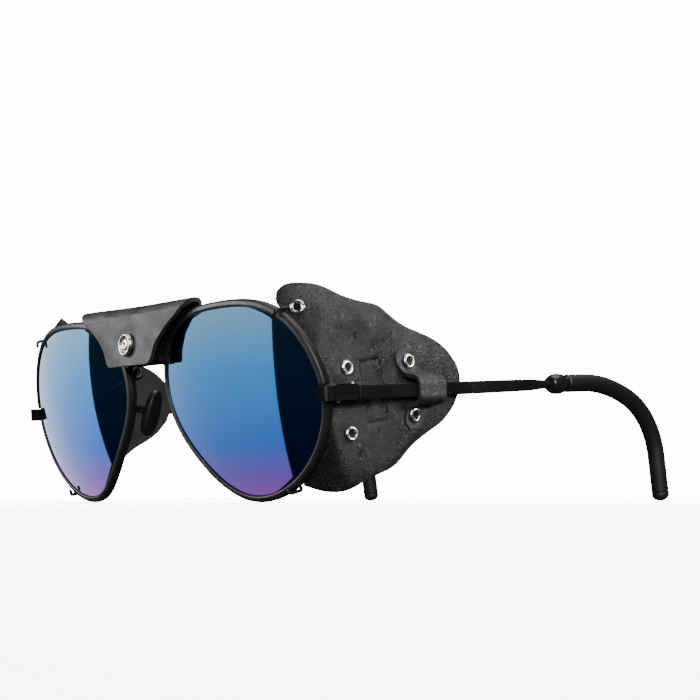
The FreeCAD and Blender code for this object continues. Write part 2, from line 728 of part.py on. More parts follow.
def clip_hook(angle):
    """Points of a hook: out from the hem, forward over the rim and down in front of it."""
    outside = rim_outset + clip_wire_radius + clip_gap
    ahead = -rim_front_lip - clip_wire_radius - clip_gap
    return [edge_point(angle, 0.0, front_back), edge_point(angle, outside, front_back),
            edge_point(angle, outside, ahead), edge_point(angle, 0.2, ahead)]


def shield_clip():
    """Spring wire in the shield's hem, with a hook over the rim at each end."""
    shares = [clip_share + (1 - 2 * clip_share) * step / 4 for step in range(5)]
    hem = [along(FRONT_EDGE, share) for share in shares]
    lift = BACK * clip_wire_radius
    points = clip_hook(clip_top_angle)[::-1] + [p + lift for p in hem] + clip_hook(clip_bottom_angle)
    return wire_along(rounded_path(points, clip_bend), clip_wire_radius)


def eyelet(centre, outward, thickness):
    """Rolled eyelet: a tube through leather of this thickness with a lip on each face."""
    half = thickness / 2
    face = centre + outward * half
    foot = centre - outward * half
    tube = rod(foot, face, eyelet_tube_radius)
    outer = rod(face, face + outward * eyelet_lip, eyelet_radius)
    inner = rod(foot - outward * eyelet_lip, foot, eyelet_radius)
    hole = rod(centre - outward * REACH, centre + outward * REACH, eyelet_hole_radius)
    return tube.fuse([outer, inner]).removeSplitter().cut(hole)


def shield_eyelet_set():
    """The three eyelets near the shield's front edge."""
    return Part.makeCompound([eyelet(shield_point(d, b), shield_normal(d, b), leather_thickness)
                              for d, b in shield_eyelets])


strap_inner = pin_x + blade_inner - strap_inset
strap_middle = strap_inner - strap_thickness / 2


def temple_strap():
    """Leather strap: a loop round the temple, with a tab above it and a tab below it."""
    half = temple_depth / 2 + strap_inset
    start = pin_y + strap_start
    end = start + strap_width
    outer = box(V(strap_inner - strap_thickness, start, temple_height - half - strap_thickness),
                V(side_outer + strap_inset + strap_thickness, end,
                  temple_height + half + strap_thickness))
    hollow = box(V(strap_inner, start - 1, temple_height - half),
                 V(side_outer + strap_inset, end + 1, temple_height + half))
    loop = outer.cut(hollow)
    tabs = []
    for behind, above in strap_eyelets:
        seat = V(strap_inner - strap_thickness, pin_y + behind, temple_height + above)
        side = math.copysign(1.0, above)
        disc = rod(seat, seat + LEFT * strap_thickness, strap_tab_radius)
        neck = [V(seat.x, seat.y - strap_neck_half_width, seat.z),
                V(seat.x, start, temple_height + side * half),
                V(seat.x, end, temple_height + side * half),
                V(seat.x, seat.y + strap_neck_half_width, seat.z + side)]
        tabs += [disc, Part.Face(Part.makePolygon(neck + neck[:1])).extrude(LEFT * strap_thickness)]
    strap = loop.fuse(tabs).removeSplitter()
    for behind, above in strap_eyelets:
        centre = V(strap_middle, pin_y + behind, temple_height + above)
        reach = LEFT * strap_thickness
        strap = strap.cut(rod(centre - reach, centre + reach, eyelet_tube_radius))
    return turned_in(strap)


def strap_eyelet_set():
    """The two eyelets in the strap's tabs."""
    return turned_in(Part.makeCompound([
        eyelet(V(strap_middle, pin_y + behind, temple_height + above), LEFT, strap_thickness)
        for behind, above in strap_eyelets]))


# ---------------------------------------------------------------- assembly
def build():
    """All nodes in the wearing frame."""
    blank = rim_blank()
    hollow_rim = rim(blank)
    blank.Placement = lens_place
    rims = [blank, blank.mirror(ORIGIN, LEFT)]
    left = {
        "rim": hollow_rim, "lens": lens(), "closing_block_upper": closing_block(1, blank),
        "closing_block_lower": closing_block(-1, blank), "rim_screw": rim_screw(),
        "end_piece": end_piece(blank), "hinge_front": hinge_front(), "hinge_temple": hinge_temple(),
        "hinge_screw": hinge_screw(), "temple": temple(), "tip_collar": tip_collar(),
        "tip_sleeve": tip_sleeve(), "tip_plug": tip_plug(), "pad_arm": pad_arm(blank),
        "pad_box": pad_box(), "pad_screw": pad_screw(), "nose_pad": nose_pad(),
        "side_shield": side_shield(), "shield_clip": shield_clip(),
        "shield_eyelets": shield_eyelet_set(), "temple_strap": temple_strap(),
        "strap_eyelets": strap_eyelet_set()}
    nodes = {"brow_bar": brow_bar(rims), "nose_bridge": nose_bridge(rims), "nose_cover": nose_cover(),
             "snap_cap": snap_cap(), "snap_stud": snap_stud()}
    for name, shape in left.items():
        nodes[name + "_left"] = shape
        nodes[name + "_right"] = shape.mirror(ORIGIN, LEFT)
    return nodes


def stand(nodes):
    """Tip the glasses back until rims and tips are level, and put the origin under their middle."""
    def low_point(name):
        bounds = nodes[name].optimalBoundingBox()
        near = Part.Vertex(V(bounds.Center.x, bounds.Center.y, bounds.ZMin - REACH))
        return nodes[name].distToShape(near)[1][0][0]
    pitch = 0.0
    for _ in range(6):
        rims, tips = low_point("rim_left"), low_point("tip_plug_left")
        step = math.degrees(math.atan2(rims.z - tips.z, tips.y - rims.y))
        pitch += step
        for shape in nodes.values():
            shape.rotate(ORIGIN, LEFT, step)
    whole = Part.makeCompound(list(nodes.values())).optimalBoundingBox()
    shift = V(-whole.Center.x, -whole.Center.y, -whole.ZMin)
    for shape in nodes.values():
        shape.translate(shift)
    return pitch, shift


if __name__ == "__main__":
    os.makedirs("parts", exist_ok=True)
    pieces = build()
    rest_pitch, rest_shift = stand(pieces)
    print("rest pitch", round(rest_pitch, 3), "shift", rest_shift)
    for node, solid in pieces.items():
        solid.exportStep("parts/" + node + ".step")
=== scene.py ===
"""Looks of the glacier glasses: rims, coated lenses, leather side shields, nose cover and temples."""
import bpy
import json
import math
import numpy as np
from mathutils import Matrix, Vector


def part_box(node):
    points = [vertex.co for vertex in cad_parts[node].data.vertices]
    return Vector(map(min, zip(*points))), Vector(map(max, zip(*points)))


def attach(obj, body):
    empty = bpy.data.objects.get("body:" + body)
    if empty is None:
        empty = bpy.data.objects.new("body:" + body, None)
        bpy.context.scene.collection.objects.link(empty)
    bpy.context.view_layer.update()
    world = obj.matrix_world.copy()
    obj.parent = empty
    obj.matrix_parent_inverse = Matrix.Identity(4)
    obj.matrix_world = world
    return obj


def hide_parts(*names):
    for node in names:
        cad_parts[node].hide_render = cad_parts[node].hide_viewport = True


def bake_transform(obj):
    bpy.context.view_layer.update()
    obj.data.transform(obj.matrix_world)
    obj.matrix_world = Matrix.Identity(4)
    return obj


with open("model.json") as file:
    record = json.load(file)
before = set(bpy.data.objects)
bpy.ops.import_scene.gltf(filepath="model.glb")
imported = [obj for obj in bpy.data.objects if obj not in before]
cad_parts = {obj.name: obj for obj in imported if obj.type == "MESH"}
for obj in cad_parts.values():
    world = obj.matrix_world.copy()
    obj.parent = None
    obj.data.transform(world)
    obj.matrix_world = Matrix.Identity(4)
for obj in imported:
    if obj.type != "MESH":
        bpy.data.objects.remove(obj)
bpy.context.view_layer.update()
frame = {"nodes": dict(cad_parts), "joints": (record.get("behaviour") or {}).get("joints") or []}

MM = 0.001
SIDES = (("left", 1), ("right", -1))

# ---------------------------------------------------------------- the wearing frame, in millimetres
# X to the wearer's left, Y back, Z up, origin midway between the lens centres; it is tipped back by
# REST_PITCH where the glasses stand.  The left fold joint says how far, and where its pin is.
LENS_SPACING = 77.4
LENS_WIDTH, LENS_HEIGHT = 58.0, 49.0
LENS_CURVE = 95.0
LENS_WRAP, LENS_TILT = math.radians(5.2), math.radians(8.35)
LENS_EDGE = [(1.0, 0.0), (0.628, 0.83), (-0.09, 1.0), (-0.845, 0.727),
             (-1.0, 0.216), (-0.634, -0.547), (-0.086, -0.98), (0.6, -0.792)]
TEMPLE_HEIGHT = 1.05
TOE_IN = math.radians(3.1)
FRONT_PLATE_AHEAD = 2.4            # of the rim's outer side
PIN_BEHIND_FRONT_PLATE = 10.9

fold = next(joint for joint in frame["joints"] if joint["name"] == "temple_left_fold")
REST_PITCH = math.atan2(-fold["axis"][1], fold["axis"][2])
HALF = LENS_SPACING / 2


def turn(angle, axis):
    """Rotation matrix about one axis: 0 for X, 1 for Y and 2 for Z."""
    c, s = math.cos(angle), math.sin(angle)
    return np.array(([[1, 0, 0], [0, c, -s], [0, s, c]],
                     [[c, 0, s], [0, 1, 0], [-s, 0, c]],
                     [[c, -s, 0], [s, c, 0], [0, 0, 1]])[axis])


TIP_BACK = turn(REST_PITCH, 0)
LENS_TURN = turn(LENS_WRAP, 2) @ turn(LENS_TILT, 0)


# ---------------------------------------------------------------- curves and grids
def spline_at(points, shares, closed=False):
    """Smooth cubic through points, read at shares 0 to 1 of its chord length.

    Second derivatives m solve h0*m0 + 2*(h0+h1)*m1 + h1*m2 = 6*(slope1 - slope0) at each point,
    round the loop when closed and with zero curvature at both ends when open."""
    points = np.asarray(points, float)
    loop = np.vstack([points, points[:1]]) if closed else points
    h = np.linalg.norm(np.diff(loop, axis=0), axis=1)
    knots = np.concatenate([[0.0], np.cumsum(h)])
    slope = np.diff(loop, axis=0) / h[:, None]
    n = len(points)
    system, right = np.eye(n), np.zeros((n, points.shape[1]))
    for i in range(0 if closed else 1, n if closed else n - 1):
        before, after = h[i - 1], h[i]
        system[i, i] = 2 * (before + after)
        system[i, i - 1] += before
        system[i, (i + 1) % n] += after
        right[i] = 6 * (slope[i] - slope[i - 1])
    m = np.linalg.solve(system, right)
    m = np.vstack([m, m[:1]]) if closed else m
    at = np.asarray(shares, float) * knots[-1]
    k = np.clip(np.searchsorted(knots, at, side="right") - 1, 0, len(h) - 1)
    a = ((knots[k + 1] - at) / h[k])[..., None]
    b = 1 - a
    hk = h[k][..., None]
    return (a * loop[k] + b * loop[k + 1]
            + ((a ** 3 - a) * m[k] + (b ** 3 - b) * m[k + 1]) * hk ** 2 / 6)


def outline(shares):
    """Lens edge in its own plane and its outward normals, at shares of the loop."""
    edge = np.array(LENS_EDGE) * [LENS_WIDTH / 2, LENS_HEIGHT / 2]
    step = 1e-4
    point = spline_at(edge, np.mod(shares, 1), True)
    ahead = spline_at(edge, np.mod(shares + step, 1), True)
    behind = spline_at(edge, np.mod(shares - step, 1), True)
    along = ahead - behind
    along /= np.linalg.norm(along, axis=-1, keepdims=True)
    return point, np.stack([along[..., 1], -along[..., 0]], -1)


def on_lens(uv, back):
    """Plane points laid on the lens's front sphere, so far behind it, in the wearing frame."""
    depth = LENS_CURVE - np.sqrt(LENS_CURVE ** 2 - (uv ** 2).sum(-1)) + back
    local = np.stack([uv[..., 0], depth, uv[..., 1]], -1)
    return local @ LENS_TURN.T + [HALF, 0, 0]


EDGE_SHARES = np.linspace(0, 1, 721)
EDGE_ANGLES = np.unwrap(np.arctan2(*outline(EDGE_SHARES)[0].T[::-1]))


def beside_lens(degrees, outset, back):
    """Points outside the lens edge at polar angles, by an outset, and so far behind its front."""
    shares = np.interp(np.radians(np.mod(degrees, 360.0)), EDGE_ANGLES, EDGE_SHARES)
    point, normal = outline(shares)
    return on_lens(point + normal * np.asarray(outset)[..., None], back)


PIN_X = fold["pos_m"][0] / MM
RIM_OUTSET = 1.2
temple_angle = math.degrees(math.atan2(TEMPLE_HEIGHT, LENS_WIDTH / 2))
RIM_SIDE = beside_lens(temple_angle, RIM_OUTSET, 0.0)
PLATE_FRONT = RIM_SIDE[1] - FRONT_PLATE_AHEAD
PIN = np.array([PIN_X, PLATE_FRONT + PIN_BEHIND_FRONT_PLATE, TEMPLE_HEIGHT])
STAND = np.array(fold["pos_m"]) / MM - TIP_BACK @ PIN


def standing(points, side=1):
    """Wearing frame in millimetres to the row frame in metres, mirrored for the right side."""
    return ((points @ TIP_BACK.T + STAND) * [side, 1, 1]) * MM


def toed_in(points):
    """Temple drawn straight back, turned in about the hinge pin."""
    return (points - PIN) @ turn(TOE_IN, 2).T + PIN


def grid_faces(rows, columns, wrap_rows, wrap_columns):
    """Quads of a grid, joined at its ends where it wraps."""
    r = np.arange(rows if wrap_rows else rows - 1)[:, None]
    c = np.arange(columns if wrap_columns else columns - 1)[None, :]
    r2, c2 = (r + 1) % rows, (c + 1) % columns
    quads = np.stack([r * columns + c, r * columns + c2, r2 * columns + c2, r2 * columns + c], -1)
    return quads.reshape(-1, 4)


def joined(name, parts, side=1):
    """Mesh object from several grids of wearing-frame points.

    Each part is (grid, options): wrap says which of rows "r" and columns "c" close on themselves,
    caps closes the first and last rows with a fan, flip turns it inside out, slot is its material."""
    points, faces, slots, base = [], [], [], 0
    for grid, options in parts:
        rows, columns = grid.shape[:2]
        wrap = options.get("wrap", "")
        own = [grid.reshape(-1, 3)]
        made = grid_faces(rows, columns, "r" in wrap, "c" in wrap).tolist()
        if options.get("caps"):
            own += [grid[0].mean(0)[None], grid[-1].mean(0)[None]]
            c = np.arange(columns)
            after = (c + 1) % columns
            last = (rows - 1) * columns
            first_hub = np.full(columns, rows * columns)
            made += np.stack([after, c, first_hub], -1).tolist()
            made += np.stack([last + c, last + after, first_hub + 1], -1).tolist()
        if (side < 0) != options.get("flip", False):
            made = [face[::-1] for face in made]
        points.append(np.vstack(own))
        faces += [[index + base for index in face] for face in made]
        slots += [options.get("slot", 0)] * len(made)
        base += len(points[-1])
    mesh = bpy.data.meshes.new(name)
    mesh.from_pydata(standing(np.vstack(points), side).tolist(), [], faces)
    mesh.polygons.foreach_set("use_smooth", np.ones(len(faces), bool))
    mesh.polygons.foreach_set("material_index", np.array(slots, np.int32))
    mesh.update()
    piece = bpy.data.objects.new(name, mesh)
    bpy.context.scene.collection.objects.link(piece)
    return piece


def surface(name, grid, side=1, **options):
    """Mesh object from one grid."""
    return joined(name, [(grid, options)], side)


def rounded_section(count, half_width, half_height, power=4.0):
    """Closed superellipse |x/a|^p + |y/b|^p = 1, anticlockwise."""
    t = np.linspace(0, 2 * math.pi, count, endpoint=False)
    c, s = np.cos(t), np.sin(t)
    scale = (np.abs(c) ** power + np.abs(s) ** power) ** (-1 / power)
    return np.stack([c * scale * half_width, s * scale * half_height], -1)


def revolved(profile, centre, axis, count=48):
    """Grid of a profile of (radius, height) pairs turned round an axis from a centre."""
    axis = np.asarray(axis, float) / np.linalg.norm(axis)
    helper = np.array([0.0, 0.0, 1.0]) if abs(axis[2]) < 0.9 else np.array([0.0, 1.0, 0.0])
    first = np.cross(helper, axis)
    first /= np.linalg.norm(first)
    second = np.cross(axis, first)
    t = np.linspace(0, 2 * math.pi, count, endpoint=False)
    spoke = np.cos(t)[:, None] * first + np.sin(t)[:, None] * second
    profile = np.asarray(profile, float)
    return (np.asarray(centre) + profile[:, None, :1] * spoke[None]
            + profile[:, None, 1:] * axis)


# ---------------------------------------------------------------- node groups shared by materials
def new_group(name, inputs, outputs):
    """Empty shader node group with named sockets; returns it with its input and output nodes."""
    group = bpy.data.node_groups.new(name, "ShaderNodeTree")
    for label, kind, value in inputs:
        socket = group.interface.new_socket(label, in_out="INPUT", socket_type=kind)
        if value is not None:
            socket.default_value = value
    for label, kind in outputs:
        group.interface.new_socket(label, in_out="OUTPUT", socket_type=kind)
    return group, group.nodes.new("NodeGroupInput"), group.nodes.new("NodeGroupOutput")


def add(tree, kind, inputs=None, **settings):
    """Node with its settings, and with inputs given as values or as sockets to link from."""
    node = tree.nodes.new("ShaderNode" + kind)
    for key, value in settings.items():
        setattr(node, key, value)
    for key, value in (inputs or {}).items():
        if isinstance(value, bpy.types.NodeSocket):
            tree.links.new(value, node.inputs[key])
        else:
            node.inputs[key].default_value = value
    return node


def ramp(tree, fac, stops):
    """Colour ramp with (position, colour) stops."""
    node = add(tree, "ValToRGB", {"Fac": fac})
    while len(node.color_ramp.elements) > len(stops):
        node.color_ramp.elements.remove(node.color_ramp.elements[-1])
    while len(node.color_ramp.elements) < len(stops):
        node.color_ramp.elements.new(0.5)
    for element, (position, colour) in zip(node.color_ramp.elements, stops):
        element.position = position
        element.color = (*colour, 1.0)
    return node.outputs["Color"]


def grain_group():
    """Leather grain: rounded cells of two sizes parted by fine creases, as a height, and a crease mask
    that paints shade into the creases.
    """
    tree, gin, gout = new_group(
        "leather_grain",
        [("Cell size", "NodeSocketFloat", 0.001), ("Softness", "NodeSocketFloat", 0.5)],
        [("Height", "NodeSocketFloat"), ("Crease", "NodeSocketFloat")])
    where = add(tree, "TexCoord").outputs["Object"]
    scale = add(tree, "Math", {0: 1.0, 1: gin.outputs["Cell size"]}, operation="DIVIDE").outputs[0]
    warp = add(tree, "TexNoise", {"Vector": where, "Scale": 260.0, "Detail": 2.0})
    push = add(tree, "VectorMath", {0: warp.outputs["Color"], 1: (0.5, 0.5, 0.5)},
               operation="SUBTRACT").outputs[0]
    shift = add(tree, "VectorMath", {0: push, "Scale": 0.0014}, operation="SCALE").outputs[0]
    warped = add(tree, "VectorMath", {0: where, 1: shift}, operation="ADD").outputs[0]
    cells = add(tree, "TexVoronoi", {"Vector": warped, "Scale": scale},
                feature="DISTANCE_TO_EDGE").outputs["Distance"]
    finer = add(tree, "Math", {0: scale, 1: 2.3}, operation="MULTIPLY").outputs[0]
    small = add(tree, "TexVoronoi", {"Vector": warped, "Scale": finer},
                feature="DISTANCE_TO_EDGE").outputs["Distance"]
    round_big = add(tree, "MapRange", {"Value": cells, "From Max": 0.22},
                    interpolation_type="SMOOTHSTEP").outputs[0]
    round_small = add(tree, "MapRange", {"Value": small, "From Max": 0.25},
                      interpolation_type="SMOOTHSTEP").outputs[0]
    mixed = add(tree, "Mix", {0: gin.outputs["Softness"], 2: round_big, 3: round_small}).outputs[0]
    pores = add(tree, "TexNoise", {"Vector": where, "Scale": 3200.0, "Detail": 3.0}).outputs["Fac"]
    fine = add(tree, "Math", {0: pores, 1: 0.25, 2: mixed}, operation="MULTIPLY_ADD").outputs[0]
    # mask of the creases between the cells, used to paint shade into them
    crease_shade = add(tree, "MapRange", {"Value": cells, "From Max": 0.08, "To Min": 1.0, "To Max": 0.0}
                 ).outputs[0]
    tree.links.new(fine, gout.inputs["Height"])
    tree.links.new(crease_shade, gout.inputs["Crease"])
    return tree


def wear_group():
    """Handling marks: rare fine scuffs where two noises meet, and wide soft blotches, 0 to 1."""
    tree, gin, gout = new_group(
        "handling_marks", [("Amount", "NodeSocketFloat", 0.5), ("Scale", "NodeSocketFloat", 900.0)],
        [("Rub", "NodeSocketFloat"), ("Blotch", "NodeSocketFloat")])
    where = add(tree, "TexCoord").outputs["Object"]
    noise = add(tree, "TexNoise", {"Vector": where, "Scale": gin.outputs["Scale"],
                                   "Detail": 4.0}).outputs["Fac"]
    blotch = add(tree, "TexNoise", {"Vector": where, "Scale": 120.0, "Detail": 3.0}).outputs["Fac"]
    fine = add(tree, "MapRange", {"Value": noise, "From Min": 0.60, "From Max": 0.72}).outputs[0]
    region = add(tree, "MapRange", {"Value": blotch, "From Min": 0.52, "From Max": 0.62}).outputs[0]
    rub = add(tree, "Math", {0: fine, 1: region}, operation="MULTIPLY").outputs[0]
    amount = add(tree, "Math", {0: rub, 1: gin.outputs["Amount"]}, operation="MULTIPLY").outputs[0]
    tree.links.new(amount, gout.inputs["Rub"])
    tree.links.new(blotch, gout.inputs["Blotch"])
    return tree


GRAIN = grain_group()
RUB = wear_group()


def material(name):
    """New material, its node tree and its main shader."""
    made = bpy.data.materials.new(name)
    made.use_nodes = True
    tree = made.node_tree
    return made, tree, tree.nodes["Principled BSDF"]


def group_node(tree, group, **values):
    """Node that places a shared group with its own values."""
    node = tree.nodes.new("ShaderNodeGroup")
    node.node_tree = group
    for key, value in values.items():
        node.inputs[key.replace("_", " ")].default_value = value
    return node


def leather(name, cell, dark, light, roughness, strength, softness=0.45):
    """Grained leather: cells in relief, painted shade darkening the creases, and patches of different
    polish.
    """
    made, tree, shader = material(name)
    grain = group_node(tree, GRAIN, Cell_size=cell, Softness=softness)
    rub = group_node(tree, RUB, Amount=0.8, Scale=700.0)
    tone = ramp(tree, rub.outputs["Blotch"], [(0.35, dark), (0.7, light)])
    # painted shade: the grain's creases darkened to 0.45 of the dark tone
    crease_shade = add(tree, "MixRGB", {"Fac": grain.outputs["Crease"], "Color1": tone,
                                  "Color2": (*[0.45 * c for c in dark], 1)}).outputs[0]
    rubbed = add(tree, "MixRGB", {"Fac": rub.outputs["Rub"], "Color1": crease_shade,
                                  "Color2": (*[2.2 * c for c in light], 1)}).outputs[0]
    rough = add(tree, "MapRange", {"Value": rub.outputs["Blotch"], "From Min": 0.3, "From Max": 0.7,
                                   "To Min": roughness - 0.07, "To Max": roughness + 0.1}).outputs[0]
    bump = add(tree, "Bump", {"Height": grain.outputs["Height"], "Strength": strength,
                              "Distance": 0.00011})
    tree.links.new(rubbed, shader.inputs["Base Color"])
    tree.links.new(rough, shader.inputs["Roughness"])
    tree.links.new(bump.outputs[0], shader.inputs["Normal"])
    shader.inputs["Specular IOR Level"].default_value = 0.5
    return made


def suede(name, dark, light):
    """Napped inner face: short soft fibres as fine noise, with a little sheen."""
    made, tree, shader = material(name)
    where = add(tree, "TexCoord").outputs["Object"]
    nap = add(tree, "TexNoise", {"Vector": where, "Scale": 2600.0, "Detail": 6.0, "Roughness": 0.7})
    cloud = add(tree, "TexNoise", {"Vector": where, "Scale": 160.0, "Detail": 3.0})
    both = add(tree, "Math", {0: nap.outputs["Fac"], 1: cloud.outputs["Fac"]}, operation="MULTIPLY")
    tree.links.new(ramp(tree, both.outputs[0], [(0.12, dark), (0.42, light)]),
                   shader.inputs["Base Color"])
    bump = add(tree, "Bump", {"Height": nap.outputs["Fac"], "Strength": 0.7, "Distance": 0.00015})
    tree.links.new(bump.outputs[0], shader.inputs["Normal"])
    shader.inputs["Roughness"].default_value = 0.95
    shader.inputs["Sheen Weight"].default_value = 0.05
    shader.inputs["Sheen Roughness"].default_value = 0.5
    return made


def lacquer(name, dark, light, roughness, metal, peel=0.25):
    """Black lacquered metal: orange-peel ripple, cloudy gloss and rare spots rubbed to grey."""
    made, tree, shader = material(name)
    where = add(tree, "TexCoord").outputs["Object"]
    rub = group_node(tree, RUB, Amount=0.55, Scale=1500.0)
    tone = ramp(tree, rub.outputs["Blotch"], [(0.35, dark), (0.7, light)])
    worn = add(tree, "MixRGB", {"Fac": rub.outputs["Rub"], "Color1": tone,
                                "Color2": (0.10, 0.10, 0.103, 1)}).outputs[0]
    ripple = add(tree, "TexNoise", {"Vector": where, "Scale": 2200.0, "Detail": 3.0}).outputs["Fac"]
    rough = add(tree, "MapRange", {"Value": ripple, "From Min": 0.3, "From Max": 0.7,
                                   "To Min": roughness - 0.06, "To Max": roughness + 0.08}).outputs[0]
    bump = add(tree, "Bump", {"Height": ripple, "Strength": peel, "Distance": 0.00003})
    tree.links.new(worn, shader.inputs["Base Color"])
    tree.links.new(rough, shader.inputs["Roughness"])
    tree.links.new(bump.outputs[0], shader.inputs["Normal"])
    shader.inputs["Metallic"].default_value = metal
    return made


def bright_metal(name, tone, roughness):
    """Nickel or steel: fine turning scratches, and cloudy polish with darker blotches."""
    made, tree, shader = material(name)
    where = add(tree, "TexCoord").outputs["Object"]
    rub = group_node(tree, RUB, Amount=1.0, Scale=900.0)
    stretched = add(tree, "Mapping", {"Vector": where, "Scale": (400.0, 400.0, 6000.0)}).outputs[0]
    scratch = add(tree, "TexNoise", {"Vector": stretched, "Scale": 1.0, "Detail": 4.0}).outputs["Fac"]
    colour = ramp(tree, rub.outputs["Blotch"], [(0.3, [0.72 * c for c in tone]), (0.65, tone)])
    rough = add(tree, "MapRange", {"Value": scratch, "From Min": 0.35, "From Max": 0.65,
                                   "To Min": roughness * 0.7, "To Max": roughness * 1.4}).outputs[0]
    bump = add(tree, "Bump", {"Height": scratch, "Strength": 0.12, "Distance": 0.00002})
    tree.links.new(colour, shader.inputs["Base Color"])
    tree.links.new(rough, shader.inputs["Roughness"])
    tree.links.new(bump.outputs[0], shader.inputs["Normal"])
    shader.inputs["Metallic"].default_value = 1.0
    return made


def rubber(name, dark, light, roughness, speckle):
    """Moulded rubber: fine spark-eroded texture and faint handling marks."""
    made, tree, shader = material(name)
    where = add(tree, "TexCoord").outputs["Object"]
    rub = group_node(tree, RUB, Amount=0.6, Scale=500.0)
    skin = add(tree, "TexNoise", {"Vector": where, "Scale": speckle, "Detail": 5.0,
                                  "Roughness": 0.65}).outputs["Fac"]
    tone = ramp(tree, rub.outputs["Blotch"], [(0.3, dark), (0.7, light)])
    rough = add(tree, "MapRange", {"Value": skin, "From Min": 0.3, "From Max": 0.7,
                                   "To Min": roughness - 0.08, "To Max": roughness + 0.08}).outputs[0]
    bump = add(tree, "Bump", {"Height": skin, "Strength": 0.35, "Distance": 0.00005})
    tree.links.new(tone, shader.inputs["Base Color"])
    tree.links.new(rough, shader.inputs["Roughness"])
    tree.links.new(bump.outputs[0], shader.inputs["Normal"])
    return made


def mirror_coating(name):
    """Mirror coating on a dark lens: pale blue at the top edge, blue, then violet at the bottom."""
    made, tree, shader = material(name)
    where = add(tree, "TexCoord").outputs["Object"]
    height = add(tree, "SeparateXYZ", {"Vector": where}).outputs["Z"]
    low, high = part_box("lens_left")
    mottle = add(tree, "TexNoise", {"Vector": where, "Scale": 35.0, "Detail": 2.0}).outputs["Fac"]
    share = add(tree, "MapRange", {"Value": height, "From Min": low.z, "From Max": high.z}).outputs[0]
    uneven = add(tree, "Math", {0: mottle, 1: 0.06, 2: share}, operation="MULTIPLY_ADD").outputs[0]
    colour = ramp(tree, uneven, [(0.03, (0.20, 0.045, 0.32)), (0.15, (0.11, 0.055, 0.38)),
                                 (0.30, (0.022, 0.11, 0.48)), (0.70, (0.035, 0.23, 0.58)),
                                 (1.0, (0.14, 0.33, 0.52))])
    tree.links.new(colour, shader.inputs["Base Color"])
    shader.inputs["Metallic"].default_value = 0.85
    shader.inputs["Roughness"].default_value = 0.03
    shader.inputs["Transmission Weight"].default_value = 1.0
    shader.inputs["IOR"].default_value = 1.5
    return made


BLACK_METAL = lacquer("matt_black_lacquer", (0.012, 0.012, 0.013), (0.022, 0.022, 0.024), 0.42, 0.35)
TEMPLE_METAL = lacquer("satin_black_lacquer", (0.014, 0.0145, 0.016), (0.024, 0.025, 0.027), 0.38, 0.4)
NICKEL = bright_metal("polished_nickel", (0.80, 0.76, 0.68), 0.2)
STEEL = bright_metal("turned_steel", (0.62, 0.62, 0.62), 0.3)
SHIELD_LEATHER = leather("grained_leather", 0.0006, (0.006, 0.006, 0.0065), (0.011, 0.011, 0.0115),
                         0.30, 1.0)
STRAP_LEATHER = leather("strap_leather", 0.0006, (0.010, 0.010, 0.011), (0.018, 0.018, 0.019),
                        0.40, 0.6)
NOSE_LEATHER = leather("smooth_leather", 0.0009, (0.012, 0.012, 0.013), (0.02, 0.02, 0.022), 0.5, 0.4)
SUEDE = suede("leather_flesh_side", (0.006, 0.006, 0.0065), (0.016, 0.016, 0.0165))
TIP_RUBBER = rubber("tip_rubber", (0.010, 0.0105, 0.0115), (0.017, 0.018, 0.0195), 0.5, 2600.0)
PAD_SILICONE = rubber("pad_silicone", (0.007, 0.007, 0.0075), (0.012, 0.012, 0.0125), 0.42, 1800.0)
COLLAR_METAL = lacquer("gloss_black_lacquer", (0.012, 0.012, 0.013), (0.02, 0.02, 0.022), 0.2, 0.3, 0.1)
# brass tint of the eyelet barrel, darkened to near black as painted shade of the eyelet holes
HOLE_SHADE_BRASS = bright_metal("dark_brass", (0.022, 0.016, 0.009), 0.5)
COATING = mirror_coating("blue_violet_mirror")

for node, thing in frame["nodes"].items():
    chosen = STEEL if "screw" in node else NICKEL if "snap" in node or "eyelet" in node else BLACK_METAL
    thing.data.materials.clear()
    thing.data.materials.append(chosen)


def finish(piece, body, slot, *materials, replaces=()):
    """Give a piece its materials, its body and the nodes that it stands for; the slot is not used."""
    for made in materials:
        piece.data.materials.append(made)
    if body:
        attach(piece, body)
    if replaces:
        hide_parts(*replaces)
    return piece


# ---------------------------------------------------------------- rims and lenses
RIM_BACK, RIM_FRONT = 1.75, -0.5
RIM_GRIP = 0.6                     # of the wire's section inside the lens edge
BLOCK_HEIGHT = 3.0                 # of the closing blocks, where the wire stops
EDGE_LENGTH = LENS_WIDTH * math.pi * 0.93
LENS_THICK = 1.5
LENS_SHOULDER, LENS_FIT = 0.62, 0.05    # inside the edge: its faces, and the bevel between them


def rim(name, side):
    """Rounded wire section carried round the lens edge, from one side of the blocks to the other."""
    gap = BLOCK_HEIGHT / 2 / EDGE_LENGTH
    offset = temple_angle / 360 * 0.95
    shares = np.linspace(offset + gap, offset + 1 - gap, 260)
    point, normal = outline(shares)
    section = rounded_section(28, (RIM_OUTSET + RIM_GRIP) / 2, (RIM_BACK - RIM_FRONT) / 2, 3.2)
    middle = np.array([(RIM_OUTSET - RIM_GRIP) / 2, (RIM_BACK + RIM_FRONT) / 2])
    across = section[:, 0] + middle[0]
    back = section[:, 1] + middle[1]
    uv = point[:, None] + normal[:, None] * across[None, :, None]
    return surface(name, on_lens(uv, back[None]), side, wrap="c", caps=True)


def lens(name, side):
    """Disc of rings that shrink from the lens edge, front and back, on concentric spheres."""
    point, normal = outline(np.linspace(0, 1, 180, endpoint=False))
    edge = point - normal * LENS_SHOULDER
    rings = np.linspace(0.02, 1, 26) ** 0.8
    front = [on_lens(edge * ring, 0.0) for ring in rings]
    rear = [on_lens(edge * ring, LENS_THICK) for ring in rings[::-1]]
    bevel = [on_lens(point - normal * LENS_FIT, back) for back in (0.5, 0.9)]
    return surface(name, np.array(front + bevel + rear), side, wrap="c", caps=True, flip=True)


for label, side in SIDES:
    finish(rim("rim_wire_" + label, side), "front", "frame_black", BLACK_METAL,
           replaces=["rim_" + label])
    finish(lens("coated_lens_" + label, side), "front", "lens_coated", COATING,
           replaces=["lens_" + label])

